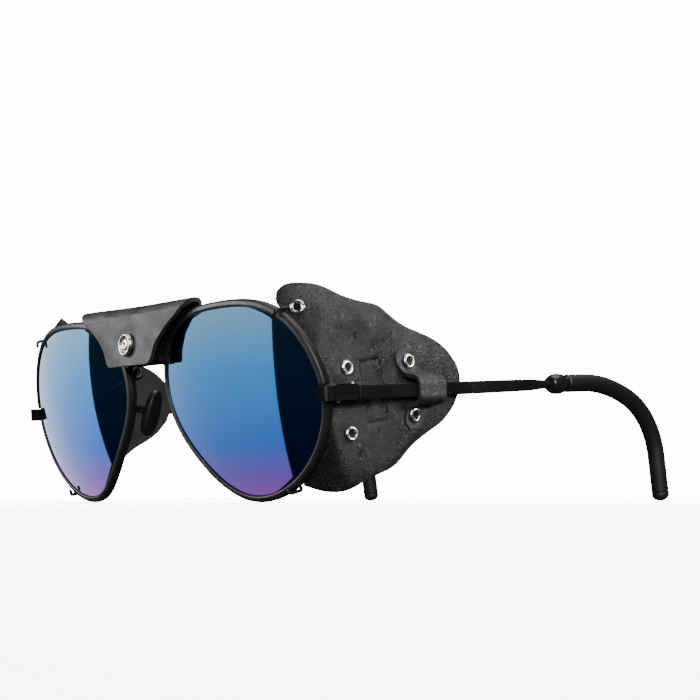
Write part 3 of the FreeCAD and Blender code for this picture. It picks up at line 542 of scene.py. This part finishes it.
# ---------------------------------------------------------------- leather
SHEET = 1.3
COVER_SHEET = 1.2
RIM_TO_SHIELD = 2.7
SHIELD_FRONT = [(55, 1.1), (45, -0.2), (20, -1.2), (-5, -1.6), (-30, -0.9), (-55, 1.0)]
SHIELD_TOP = [(52.0, 6.7, 26.6), (53.4, 7.9, 28.1), (56.0, 9.8, 28.4), (59.1, 12.4, 27.9),
              (60.8, 14.2, 26.9), (62.4, 17.0, 25.2), (64.0, 21.5, 23.4), (64.9, 27.0, 22.1),
              (65.3, 29.4, 20.6), (65.4, 32.8, 18.3), (65.8, 38.9, 15.6), (66.0, 45.0, 13.2),
              (66.1, 48.6, 10.6), (66.1, 51.1, 7.9)]
SHIELD_REAR = [(66.1, 52.3, 4.4), (66.1, 51.7, 0.6), (66.1, 49.9, -3.0)]
SHIELD_BOTTOM = [(62.7, 15.8, -22.3), (64.2, 18.9, -20.9), (65.0, 24.6, -18.9),
                 (65.3, 28.6, -17.6), (65.4, 32.0, -15.0), (65.6, 34.8, -12.6),
                 (65.9, 39.9, -9.8), (66.1, 46.0, -6.6)]
# soft swellings and hollows of the hide: behind the front, height, reach each way, and outward push
SWELLS = [(25.0, 16.0, 4.0, 9.0, 0.9), (16.5, 15.5, 2.6, 6.0, -0.7), (12.5, 6.0, 3.0, 4.0, 0.35),
          (35.0, 9.0, 7.0, 3.5, 0.5), (30.0, -9.0, 9.0, 5.0, 0.35), (19.0, -15.0, 5.0, 5.0, 0.5),
          (44.0, 3.0, 6.0, 8.0, 0.3), (20.6, 20.5, 1.6, 3.5, 0.45)]
AWL_HOLES = [(19.3, 14.9), (24.0, 12.2), (47.5, 3.6), (18.4, -14.1), (24.7, -8.9)]
AWL_DEPTH, AWL_HALF_WIDE, AWL_HALF_HIGH = 0.7, 0.45, 0.8
PATCH = (24.0, 1.3, 3.1, 7.7)      # pressed frame: its middle, and half its width and height
PATCH_LEAN = math.radians(7.0)
GROOVE_DEPTH, GROOVE_HALF = 0.45, 0.42
PLAQUE_RISE, PLAQUE_CORNER = 0.38, 0.7
SHIELD_ROWS, SHIELD_COLUMNS = 150, 150
SIDE_PLANE, PLANE_STEP = 65.2, 1.0      # how far out the hide may lie, and more behind the patch
PLANE_SOFTNESS = 1.8
HINGE_HOLLOW = (15.0, 1.0, 7.0, 3.4)    # kept flat: its middle behind and up, and its half sizes


def smooth(x, low, high):
    """Smoothstep from 0 at low to 1 at high."""
    t = np.clip((x - low) / (high - low), 0, 1)
    return t * t * (3 - 2 * t)


def patch_grid(top, bottom, front, rear, rows, columns):
    """Patch blended from four edge curves, less the corners' bilinear patch, front to rear and down."""
    back = np.linspace(0, 1, columns)
    down = np.linspace(0, 1, rows)
    upper, lower = spline_at(top, back)[None], spline_at(bottom, back)[None]
    fore, aft = spline_at(front, down)[:, None], spline_at(rear, down)[:, None]
    d, b = down[:, None, None], back[None, :, None]
    corners = ((1 - d) * ((1 - b) * upper[:, :1] + b * upper[:, -1:])
               + d * ((1 - b) * lower[:, :1] + b * lower[:, -1:]))
    return (1 - b) * fore + b * aft + (1 - d) * upper + d * lower - corners


def box_distance(y, z, middle_y, middle_z, half_y, half_z, lean, corner):
    """Signed distance to a rounded rectangle that leans in the Y-Z plane, negative inside."""
    dy, dz = y - middle_y, z - middle_z
    across = dy * math.cos(lean) + dz * math.sin(lean)
    up = dz * math.cos(lean) - dy * math.sin(lean)
    qy, qz = np.abs(across) - half_y + corner, np.abs(up) - half_z + corner
    outside = np.hypot(np.maximum(qy, 0), np.maximum(qz, 0))
    return outside + np.minimum(np.maximum(qy, qz), 0) - corner


def shield_relief(y, z):
    """Outward push of the hide: wide swells, awl holes, and a pressed frame round a raised plaque."""
    push = np.zeros_like(y)
    for at_y, at_z, reach_y, reach_z, height in SWELLS:
        push += height * np.exp(-((y - at_y) / reach_y) ** 2 - ((z - at_z) / reach_z) ** 2)
    for at_y, at_z in AWL_HOLES:
        push -= AWL_DEPTH * np.exp(-((y - at_y) / AWL_HALF_WIDE) ** 4
                                   - ((z - at_z) / AWL_HALF_HIGH) ** 4)
    frame_edge = box_distance(y, z, *PATCH, PATCH_LEAN, 0.8)
    push -= GROOVE_DEPTH * np.exp(-(frame_edge / GROOVE_HALF) ** 2)
    push -= 0.12 * smooth(-frame_edge, 0.0, 0.5)
    middle_y, middle_z, half_y, half_z = PATCH
    for share in (0.52, -0.52):
        plaque = box_distance(y, z, middle_y - share * half_z * math.sin(PATCH_LEAN),
                              middle_z + share * half_z, 0.62 * half_y, 0.36 * half_z, PATCH_LEAN,
                              PLAQUE_CORNER)
        push += PLAQUE_RISE * smooth(-plaque, -0.2, 0.45)
    ripple = np.sin(0.9 * y + 1.7 * np.sin(0.31 * z)) * np.sin(0.53 * z + 0.8 * np.sin(0.27 * y))
    return push + 0.09 * ripple


def shield_grid():
    """Middle surface of the side shield: the edge patch, kept inside a plane, with its relief.

    Room r to the plane, within w of it, becomes (r + w)^2 / 4w, so the hide eases on to the plane."""
    angles, outsets = np.array(SHIELD_FRONT, float).T
    front = [SHIELD_TOP[0]] + list(beside_lens(angles, outsets, RIM_TO_SHIELD))
    bottom = [front[-1]] + SHIELD_BOTTOM + [SHIELD_REAR[-1]]
    rear = [SHIELD_TOP[-1]] + SHIELD_REAR
    grid = patch_grid(SHIELD_TOP, bottom, front, rear, SHIELD_ROWS, SHIELD_COLUMNS)
    y, z = grid[..., 1], grid[..., 2]
    plane = SIDE_PLANE + PLANE_STEP * smooth(y, 24, 34)
    room = np.maximum(plane - grid[..., 0], -PLANE_SOFTNESS)
    eased = (room + PLANE_SOFTNESS) ** 2 / (4 * PLANE_SOFTNESS)
    grid[..., 0] = plane - np.where(room > PLANE_SOFTNESS, room, eased)
    middle_y, middle_z, half_y, half_z = HINGE_HOLLOW
    near_hinge = np.exp(-((y - middle_y) / half_y) ** 4 - ((z - middle_z) / half_z) ** 4)
    grid[..., 0] += shield_relief(y, z) * (1 - near_hinge)
    return grid


def sheet_solid(piece, thickness, rounding, inner_slot=0):
    """Give a surface its hide's thickness about its middle, and round its cut edge."""
    solid = piece.modifiers.new("thickness", "SOLIDIFY")
    solid.thickness = thickness * MM
    solid.offset = 0.0
    solid.use_even_offset = False
    solid.material_offset = inner_slot
    solid.material_offset_rim = inner_slot
    edge = piece.modifiers.new("rounding", "BEVEL")
    edge.width = rounding * MM
    edge.segments = 2
    edge.limit_method = "ANGLE"
    edge.angle_limit = math.radians(50)
    return piece


HIDE = shield_grid()
for label, side in SIDES:
    shield = surface("leather_side_shield_" + label, HIDE, side, flip=True)
    sheet_solid(shield, SHEET, 0.3, 1)
    finish(shield, None, "shield_leather", SHIELD_LEATHER, SUEDE, replaces=["side_shield_" + label])
    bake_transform(shield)

# the nose cover
BAR = np.array([0.0, -0.1, 24.3])
FOLD = 3.0
COVER_FOOT = 11.9
FRONT_LEAN, BACK_LEAN = 1.1, 0.9
COVER_SIDE = [(-1.0, 9.4), (0.0, 10.1), (0.14, 10.8), (0.40, 12.5), (0.68, 16.0), (0.96, 21.3),
              (1.08, 24.0), (1.2, 26.0), (1.35, 26.6), (2.0, 26.6)]
COVER_CORNER = 1.6


def cover_grid(rows=150, columns=120):
    """Fold over the brow bar: half-widths read at each height of a U-shaped section."""
    drop = BAR[2] - COVER_FOOT
    arc = math.pi * FOLD
    s = np.linspace(0, 2 * drop + arc, rows)
    front = np.clip(1 - s / drop, 0, 1)
    rear = np.clip((s - drop - arc) / drop, 0, 1)
    angle = np.clip((s - drop) / FOLD, 0, math.pi)
    y = -FOLD * np.cos(angle) - FRONT_LEAN * front + BACK_LEAN * rear
    z = FOLD * np.sin(angle) - drop * np.maximum(front, rear)
    share = (z + drop) / drop
    knots, widths = np.array(COVER_SIDE).T
    half = np.interp(share, knots, widths)
    soft = np.convolve(np.pad(half, 6, mode="edge"), np.ones(13) / 13, mode="valid")
    foot = np.minimum(s, s[-1] - s)
    round_off = 1 - np.clip(foot / COVER_CORNER, 0, 1)
    soft -= COVER_CORNER * (1 - np.sqrt(np.clip(1 - round_off ** 2, 0, 1)))
    t = np.linspace(-1, 1, columns)
    x = soft[:, None] * t[None]
    belly = 0.35 * (1 - t[None] ** 2) * np.sign(y)[:, None] * smooth(np.abs(y), 2.5, 3.2)[:, None]
    dimple = -0.35 * np.exp(-((x / 4.6) ** 2 + ((z[:, None] + 6.8) / 4.2) ** 2) ** 2)
    wave = 0.12 * np.sin(0.55 * x + 0.4 * z[:, None]) * np.sin(0.35 * z[:, None] + 1.1)
    out = belly + np.sign(y)[:, None] * (dimple + wave) * smooth(np.abs(y), 2.4, 3.0)[:, None]
    rise = -0.25 * np.sin(angle)[:, None] * (0.5 + 0.5 * np.cos(math.pi * t))[None]
    return np.stack([x, BAR[1] + y[:, None] + out, BAR[2] + z[:, None] + rise], -1)


COVER = cover_grid()
cover = surface("leather_nose_cover", COVER)
sheet_solid(cover, COVER_SHEET, 0.3, 1)
finish(cover, "front", "nose_leather", NOSE_LEATHER, SUEDE, replaces=["nose_cover"])

# the straps round the temples
SIDE_INNER = PIN[0] + 1.6          # inner face of the temple
STRAP = 1.1
STRAP_CORNER = 2.7
STRAP_PATH = [(67.75, 18.2, 12.0, 3.5), (67.75, 18.1, 10.6, 3.7), (67.75, 18.2, 8.3, 3.7),
              (68.1, 19.2, 6.2, 3.5), (69.3, 21.0, 4.75, 3.9), (70.7, 22.8, 4.2, 4.4),
              (71.45, 23.3, 3.1, 4.6), (71.5, 23.4, 1.05, 4.6), (71.45, 23.3, -1.0, 4.5),
              (70.7, 23.0, -2.1, 4.3), (69.4, 22.2, -2.4, 3.9), (68.4, 21.2, -2.8, 3.4),
              (68.0, 20.4, -3.8, 3.1), (67.8, 19.8, -5.6, 3.0), (67.75, 19.2, -8.6, 3.0)]


def strap_grid(rows=110, columns=36):
    """Ribbon along a path over the temple: path points carry half the width, ends are rounded."""
    path = np.array(STRAP_PATH) + [0, PIN[1], 0, 0]
    track = spline_at(path, np.linspace(0, 1, rows))
    s = np.linspace(0, 1, rows) * np.linalg.norm(np.diff(track[:, :3], axis=0), axis=1).sum()
    end = np.minimum(s, s[-1] - s)
    round_off = 1 - np.clip(end / STRAP_CORNER, 0.05, 1)
    half = track[:, 3] * np.sqrt(np.clip(1 - round_off ** 2, 0.03, 1))
    t = np.linspace(-1, 1, columns)
    grid = track[:, None, :3] + half[:, None, None] * t[None, :, None] * [0, 1, 0]
    across = np.abs(t[None])
    free = smooth(s, 3.5, 8.0) * smooth(s[-1] - s, 3.5, 8.0)
    grid[..., 0] += (0.10 * np.sin(5 * t)[None] * free[:, None]
                     - 0.25 * across ** 3 * free[:, None])
    return grid


RIBBON = strap_grid()
for label, side in SIDES:
    strap = surface("leather_strap_" + label, toed_in(RIBBON), side, flip=True)
    sheet_solid(strap, STRAP, 0.28, 1)
    finish(strap, "temple_" + label, "shield_leather", STRAP_LEATHER, SUEDE,
           replaces=["temple_strap_" + label])

# ---------------------------------------------------------------- eyelets and the snap
EYELET = [(0.95, -1.72), (0.95, 0.0), (1.06, 0.26), (1.38, 0.40), (1.72, 0.28), (1.92, 0.0),
          (1.7, -0.15), (1.33, -0.2), (1.33, -1.2), (1.7, -1.25), (1.92, -1.4), (1.7, -1.66),
          (1.3, -1.76)]
# disc across the top of each eyelet's hole; it carries the painted shade of the hole
EYELET_SHADE_DISC = [(0.001, 0.02), (0.55, 0.03), (0.97, 0.10)]
SHIELD_EYELETS = [(7.3, 22.3), (15.65, 7.2), (15.9, -8.95)]
STRAP_EYELETS = [(18.5, 8.2), (19.7, -5.2)]
EYELET_LIFT, SNAP_LIFT = 0.3, 0.4  # of a ring above the face of the hide
SNAP_HEIGHT = 17.45
SNAP_CAP = [(0.001, 0.15), (0.30, 0.15), (0.40, 0.55), (1.45, 0.66), (1.62, 0.5), (1.70, 0.14),
            (2.10, 0.12), (2.28, 0.75), (2.60, 0.95), (2.95, 0.75), (3.14, 0.25), (3.12, -0.3)]
SNAP_STUD = [(0.001, 0.5), (0.9, 0.5), (1.05, 0.18), (1.8, 0.16), (2.0, 0.5), (2.45, 0.5),
             (2.62, 0.1), (2.6, -0.3)]


def fine_profile(profile, count):
    """Profile points rounded into a smooth run of so many points."""
    return spline_at(profile, np.linspace(0, 1, count))


def seat_on(grid, near, coordinates=(1, 2)):
    """Point of a hide's middle surface nearest two of its coordinates, and the way out of it."""
    gap = ((grid[..., list(coordinates)] - near) ** 2).sum(-1)
    row, column = np.unravel_index(np.argmin(gap), gap.shape)
    reach = 5
    down = grid[min(row + reach, len(grid) - 1), column] - grid[max(row - reach, 0), column]
    across = (grid[row, min(column + reach, grid.shape[1] - 1)]
              - grid[row, max(column - reach, 0)])
    out = np.cross(down, across)
    return grid[row, column], out / np.linalg.norm(out)


def eyelet_parts(seats, thickness):
    """Rolled ring of each eyelet on hide of this thickness, and a near-black disc over its hole as
    painted shade.
    """
    section = spline_at(EYELET, np.linspace(0, 1, 64, endpoint=False), True)
    parts = []
    for point, out in seats:
        centre = point + out * (thickness / 2 + EYELET_LIFT)
        ring = revolved(section, centre, out, 48)
        # disc over the hole, in near-black brass as painted shade
        floor = revolved(EYELET_SHADE_DISC, centre, out, 40)
        parts += [(ring, {"wrap": "rc"}), (floor, {"wrap": "c", "slot": 1})]
    return parts


for label, side in SIDES:
    seats = [seat_on(HIDE, near) for near in SHIELD_EYELETS]
    rings = joined("shield_eyelet_rings_" + label, eyelet_parts(seats, SHEET), side)
    finish(rings, "front", "eyelet_nickel", NICKEL, HOLE_SHADE_BRASS, replaces=["shield_eyelets_" + label])
    seats = [seat_on(RIBBON, (PIN[1] + behind, height)) for behind, height in STRAP_EYELETS]
    seats = [(toed_in(point), turn(TOE_IN, 2) @ out) for point, out in seats]
    rings = joined("strap_eyelet_rings_" + label, eyelet_parts(seats, STRAP), side)
    finish(rings, "temple_" + label, "eyelet_nickel", NICKEL, HOLE_SHADE_BRASS,
           replaces=["strap_eyelets_" + label])

half_rows = len(COVER) // 2
for node, profile, flap, facing in (("snap_cap", SNAP_CAP, COVER[:half_rows], -1),
                                    ("snap_stud", SNAP_STUD, COVER[half_rows:], 1)):
    point, out = seat_on(flap, (0.0, SNAP_HEIGHT), (0, 2))
    out *= facing * np.sign(out[1])
    ring = revolved(fine_profile(profile, 60), point + out * (COVER_SHEET / 2 + SNAP_LIFT), out, 56)
    finish(surface(node + "_ring", ring, wrap="c"), "front", "eyelet_nickel", NICKEL, replaces=[node])

# ---------------------------------------------------------------- temples and tips
WIRE_X = SIDE_INNER + 0.6
BLADE_FRONT = PIN[1] - 0.2
COLLAR_START = PIN[1] + 68.8
SLEEVE_START = COLLAR_START + 6.6
TEMPLE_LENGTH = 113.7
FIRST_BEND, FIRST_TURN = 42.0, math.radians(28)
SECOND_BEND, SECOND_TURN = 20.5, math.radians(57)
TIP_STRAIGHT = 13.0
TIP_RADIUS = 2.4
PLUG = 2.6
BLADE = [(0.0, 0.60, 1.80), (20.0, 0.60, 1.74), (45.0, 0.60, 1.63), (58.0, 0.60, 1.56),
         (60.0, 0.61, 1.54), (62.0, 0.64, 1.48), (64.0, 0.68, 1.37), (65.5, 0.72, 1.25),
         (67.0, 0.79, 1.10), (68.5, 0.86, 0.95), (70.5, 0.88, 0.92)]
COLLAR = [(0.86, 0.0), (1.6, 0.12), (2.15, 0.55), (2.52, 1.3), (2.72, 2.3), (2.75, 3.2), (2.66, 4.3),
          (2.50, 5.05), (2.34, 5.35), (2.02, 5.45), (1.95, 5.6), (1.95, 6.2), (2.0, 6.6), (0.9, 6.62)]


def tip_line(count):
    """Centre line of the tip and the way it goes: straight, two arcs that turn down, straight."""
    total = FIRST_TURN + SECOND_TURN
    reach = (FIRST_BEND * math.sin(FIRST_TURN)
             + SECOND_BEND * (math.sin(total) - math.sin(FIRST_TURN))
             + TIP_STRAIGHT * math.cos(total))
    lead = PIN[1] + TEMPLE_LENGTH - reach - SLEEVE_START
    lengths = [lead, FIRST_BEND * FIRST_TURN, SECOND_BEND * SECOND_TURN, TIP_STRAIGHT]
    ends = np.cumsum([0.0] + lengths)
    s = np.linspace(0, ends[-1], count)
    angle = np.interp(s, ends, [0, 0, FIRST_TURN, total, total])
    step = s[1] - s[0]
    middle = (angle[1:] + angle[:-1]) / 2
    y = SLEEVE_START + np.concatenate([[0], np.cumsum(np.cos(middle) * step)])
    z = TEMPLE_HEIGHT - np.concatenate([[0], np.cumsum(np.sin(middle) * step)])
    line = np.stack([np.full(count, WIRE_X), y, z], -1)
    return line, np.stack([np.zeros(count), np.cos(angle), -np.sin(angle)], -1), s


def sleeve_grid(start, end, radius_at):
    """Round section carried down the tip's centre line between two lengths of it."""
    line, way, s = tip_line(400)
    keep = np.linspace(start, end, 150)
    place = np.stack([np.interp(keep, s, line[:, i]) for i in range(3)], -1)
    way = np.stack([np.interp(keep, s, way[:, i]) for i in range(3)], -1)
    way /= np.linalg.norm(way, axis=1, keepdims=True)
    side = np.array([1.0, 0, 0])
    up = np.cross(side, way)
    t = np.linspace(0, 2 * math.pi, 40, endpoint=False)
    radius = radius_at(keep)[:, None, None]
    ring = np.cos(t)[None, :, None] * side + np.sin(t)[None, :, None] * up[:, None]
    return place[:, None] + ring * radius


def blade_grid():
    """Blade: a rounded oblong whose half-thickness and half-depth follow stations back from the pin."""
    stations = np.array(BLADE)
    behind = np.concatenate([[0.0, 0.05, 0.12, 0.2], np.linspace(0.3, 70.5, 150)])
    thick = np.interp(behind, stations[:, 0], stations[:, 1])
    deep = np.interp(behind, stations[:, 0], stations[:, 2])
    ease = 1 - 0.18 * (1 - np.clip(behind / 0.2, 0, 1)) ** 2
    power = np.interp(behind, [0, 58, 68.5], [7.0, 6.0, 2.0])
    t = np.linspace(0, 2 * math.pi, 56, endpoint=False)
    c, s = np.cos(t), np.sin(t)
    scale = (np.abs(c) ** power[:, None] + np.abs(s) ** power[:, None]) ** (-1 / power[:, None])
    x = WIRE_X + c * scale * (thick * ease)[:, None]
    z = TEMPLE_HEIGHT + s * scale * (deep * ease)[:, None]
    y = np.broadcast_to((BLADE_FRONT + behind)[:, None], x.shape)
    return np.stack([x, y, z], -1)


def sleeve_radius(s):
    """Sleeve: a rounded lip at the collar, and a fine seam where the plug begins."""
    return TIP_RADIUS - 0.35 * np.exp(-s / 0.22) + 0.05 * np.exp(-((s - 0.9) / 0.5) ** 2)


def plug_radius(end):
    """Plug: round nose whose radius falls as a quarter circle in its last part."""
    def radius(s):
        nose = np.clip((s - (end - 2.1)) / 2.1, 0, 0.995)
        return (TIP_RADIUS + 0.03 - 0.28 * np.exp(-(s - (end - PLUG)) / 0.12)) * np.sqrt(1 - nose ** 2.4)
    return radius


TIP_LENGTH = float(tip_line(400)[2][-1])
for label, side in SIDES:
    body = "temple_" + label
    finish(surface("temple_blade_" + label, toed_in(blade_grid()), side, wrap="c", caps=True), body,
           "temple_black", TEMPLE_METAL, replaces=["temple_" + label])
    collar = revolved(fine_profile(COLLAR, 70), (WIRE_X, COLLAR_START, TEMPLE_HEIGHT), (0, 1, 0), 48)
    finish(surface("collar_ball_" + label, toed_in(collar), side, wrap="c", flip=True), body,
           "frame_black", COLLAR_METAL, replaces=["tip_collar_" + label])
    sleeve = sleeve_grid(0.0, TIP_LENGTH - PLUG, sleeve_radius)
    finish(surface("rubber_sleeve_" + label, toed_in(sleeve), side, wrap="c", caps=True, flip=True),
           body, "tip_rubber", TIP_RUBBER, replaces=["tip_sleeve_" + label])
    plug = sleeve_grid(TIP_LENGTH - PLUG + 0.02, TIP_LENGTH, plug_radius(TIP_LENGTH))
    finish(surface("rubber_plug_" + label, toed_in(plug), side, wrap="c", caps=True, flip=True),
           body, "tip_rubber", TIP_RUBBER, replaces=["tip_plug_" + label])

# ---------------------------------------------------------------- nose pads
PAD_PLACE = np.array([10.9, 9.2, -0.56])
PAD_TURN = turn(math.radians(-30), 2) @ turn(math.radians(-18), 1)
PAD_HALF_THICK, PAD_HALF_WIDE, PAD_HALF_HIGH = 1.5, 3.5, 6.5
PAD_STEM_LENGTH, PAD_STEM_HALF = 1.6, 0.6


def pad_grid():
    """Soft oval pad: rings from the middle of its face, round the edge, to the middle of its back.

    The back's middle is drawn out into a stem by exp(-(y/h)^4 - (z/h)^4)."""
    turns = np.linspace(0.004, math.pi - 0.004, 60)
    t = np.linspace(0, 2 * math.pi, 72, endpoint=False)
    reach = np.sin(turns) ** 0.55
    depth = -np.sign(np.cos(turns)) * np.abs(np.cos(turns)) ** 0.75 * PAD_HALF_THICK
    oval = (np.abs(np.cos(t)) ** 2.5 + np.abs(np.sin(t)) ** 2.5) ** (-1 / 2.5)
    narrowed = 1 - 0.10 * np.sin(t) * oval
    y = reach[:, None] * (np.cos(t) * oval * narrowed)[None] * PAD_HALF_WIDE
    z = reach[:, None] * (np.sin(t) * oval)[None] * PAD_HALF_HIGH
    x = depth[:, None] - 0.04 * np.cos(9 * reach)[:, None]
    x = np.where(depth[:, None] < 0, x + 0.175 * (1 - reach[:, None] ** 2), x)
    stem = np.exp(-((y / PAD_STEM_HALF) ** 4 + (z / PAD_STEM_HALF) ** 4)) * (depth[:, None] > 0)
    x = x + PAD_STEM_LENGTH * stem
    local = np.stack([x, y, z], -1)
    return local @ PAD_TURN.T + PAD_PLACE


for label, side in SIDES:
    pad = surface("silicone_pad_" + label, pad_grid(), side, wrap="c", caps=True)
    finish(pad, "pad_" + label, "pad_silicone", PAD_SILICONE, replaces=["nose_pad_" + label])

# ---------------------------------------------------------------- floor, light and camera
EYE = Vector((406.02, -325.24, 1.5)) * MM
LOOK = Vector((-0.771687, 0.630879, 0.080572))
ROLL = math.radians(0.19)
FLOOR_HALF = 600                   # millimetres
SKY_SEEN, SKY_DIFFUSE, SKY_GLOSSY = 14.0, 0.13, 0.04    # strengths of the white surround
PANEL_SIZE = (0.86, 1.30)
PANEL_ROLL = math.radians(-26)
PANEL_DISTANCE, PANEL_DROP = 0.6, -0.17
PANELS = {"left": (-149, 3.6), "right": (-179, 5.0)}    # bearing in degrees, and power


def camera():
    """Low camera in front of the wearer's left side."""
    data = bpy.data.cameras.new("camera")
    data.lens = 93.25
    data.sensor_width = 36.0
    data.clip_start = 0.01
    thing = bpy.data.objects.new("camera", data)
    bpy.context.scene.collection.objects.link(thing)
    thing.location = EYE
    thing.rotation_euler = LOOK.to_track_quat("-Z", "Y").to_euler()
    thing.rotation_euler.rotate_axis("Z", -ROLL)
    bpy.context.scene.camera = thing


def pale_floor():
    """White floor, seen and shaded but not mirrored in the glasses."""
    t = np.linspace(-FLOOR_HALF, FLOOR_HALF, 3)
    x, y = np.meshgrid(t, t)
    mesh = bpy.data.meshes.new("floor")
    points = np.stack([x, y, np.zeros_like(x)], -1).reshape(-1, 3) * MM
    mesh.from_pydata(points.tolist(), [], grid_faces(3, 3, False, False).tolist())
    floor = bpy.data.objects.new("floor", mesh)
    bpy.context.scene.collection.objects.link(floor)
    made, tree, shader = material("pale_floor")
    shader.inputs["Base Color"].default_value = (0.96, 0.96, 0.96, 1)
    shader.inputs["Roughness"].default_value = 0.9
    mesh.materials.append(made)
    floor.visible_glossy = False
    floor.visible_diffuse = False
    floor.visible_transmission = False
    return floor


def surround():
    """White surround: bright where the camera sees it, dim in reflections and as fill light."""
    world = bpy.data.worlds.new("studio")
    world.use_nodes = True
    bpy.context.scene.world = world
    tree = world.node_tree
    path = add(tree, "LightPath")
    fill = add(tree, "MapRange", {"Value": path.outputs["Is Glossy Ray"], "To Min": SKY_DIFFUSE,
                                  "To Max": SKY_GLOSSY}).outputs[0]
    strength = add(tree, "Math", {0: path.outputs["Is Camera Ray"], 1: SKY_SEEN, 2: fill},
                   operation="MULTIPLY_ADD").outputs[0]
    back = tree.nodes["Background"]
    back.inputs["Color"].default_value = (1, 1, 1, 1)
    tree.links.new(strength, back.inputs["Strength"])


def area_light(name, place, target, size, power):
    """Rectangular soft box that faces its target."""
    data = bpy.data.lights.new(name, "AREA")
    data.shape = "RECTANGLE"
    data.size, data.size_y = size
    data.energy = power
    thing = bpy.data.objects.new(name, data)
    bpy.context.scene.collection.objects.link(thing)
    thing.location = place
    thing.rotation_euler = (Vector(target) - Vector(place)).to_track_quat("-Z", "Y").to_euler()
    return thing


def light_only(light, targets):
    """Let a light fall on some objects only."""
    only = bpy.data.collections.new(light.name + "_targets")
    for target in targets:
        only.objects.link(target)
    light.light_linking.receiver_collection = only


def pieces_named(*words):
    """Pieces, lenses apart, with one of these words in their names."""
    return [thing for thing in bpy.context.scene.objects
            if thing.type == "MESH" and "lens" not in thing.name
            and any(word in thing.name for word in words)]


def lights(floor):
    """Soft boxes above and beside, one that washes the floor, and a tall oval panel for each lens."""
    area_light("top", (0.1, 0.1, 0.9), (0.03, 0, 0.02), (0.9, 0.9), 8.0)
    area_light("front_side", (0.8, -0.45, 0.35), (0.06, -0.03, 0.02), (0.4, 0.5), 8.0)
    sheen = area_light("rear_side", (0.62, 0.46, 0.30), (0.066, -0.03, 0.035), (0.26, 0.16), 6.5)
    light_only(sheen, pieces_named("leather", "ring"))
    front = area_light("front", (-0.60, -0.75, 0.30), (0, -0.06, 0.02), (0.8, 0.6), 13.0)
    light_only(front, pieces_named("ring", "screw", "nose", "rim_wire"))
    wash = area_light("floor_wash", (-0.15, 0.2, 0.9), (0, 0, 0), (0.25, 0.25), 115.0)
    light_only(wash, [floor])
    for label, (bearing, power) in PANELS.items():
        low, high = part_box("lens_" + label)
        middle = (low + high) / 2
        way = math.radians(bearing)
        place = middle + Vector((math.cos(way), math.sin(way), PANEL_DROP)) * PANEL_DISTANCE
        panel = area_light("panel_for_lens_" + label, place, middle, PANEL_SIZE, power)
        panel.data.shape = "ELLIPSE"
        panel.rotation_euler.rotate_axis("Z", PANEL_ROLL)
        light_only(panel, [bpy.data.objects["coated_lens_" + label]])


camera()
lights(pale_floor())
surround()
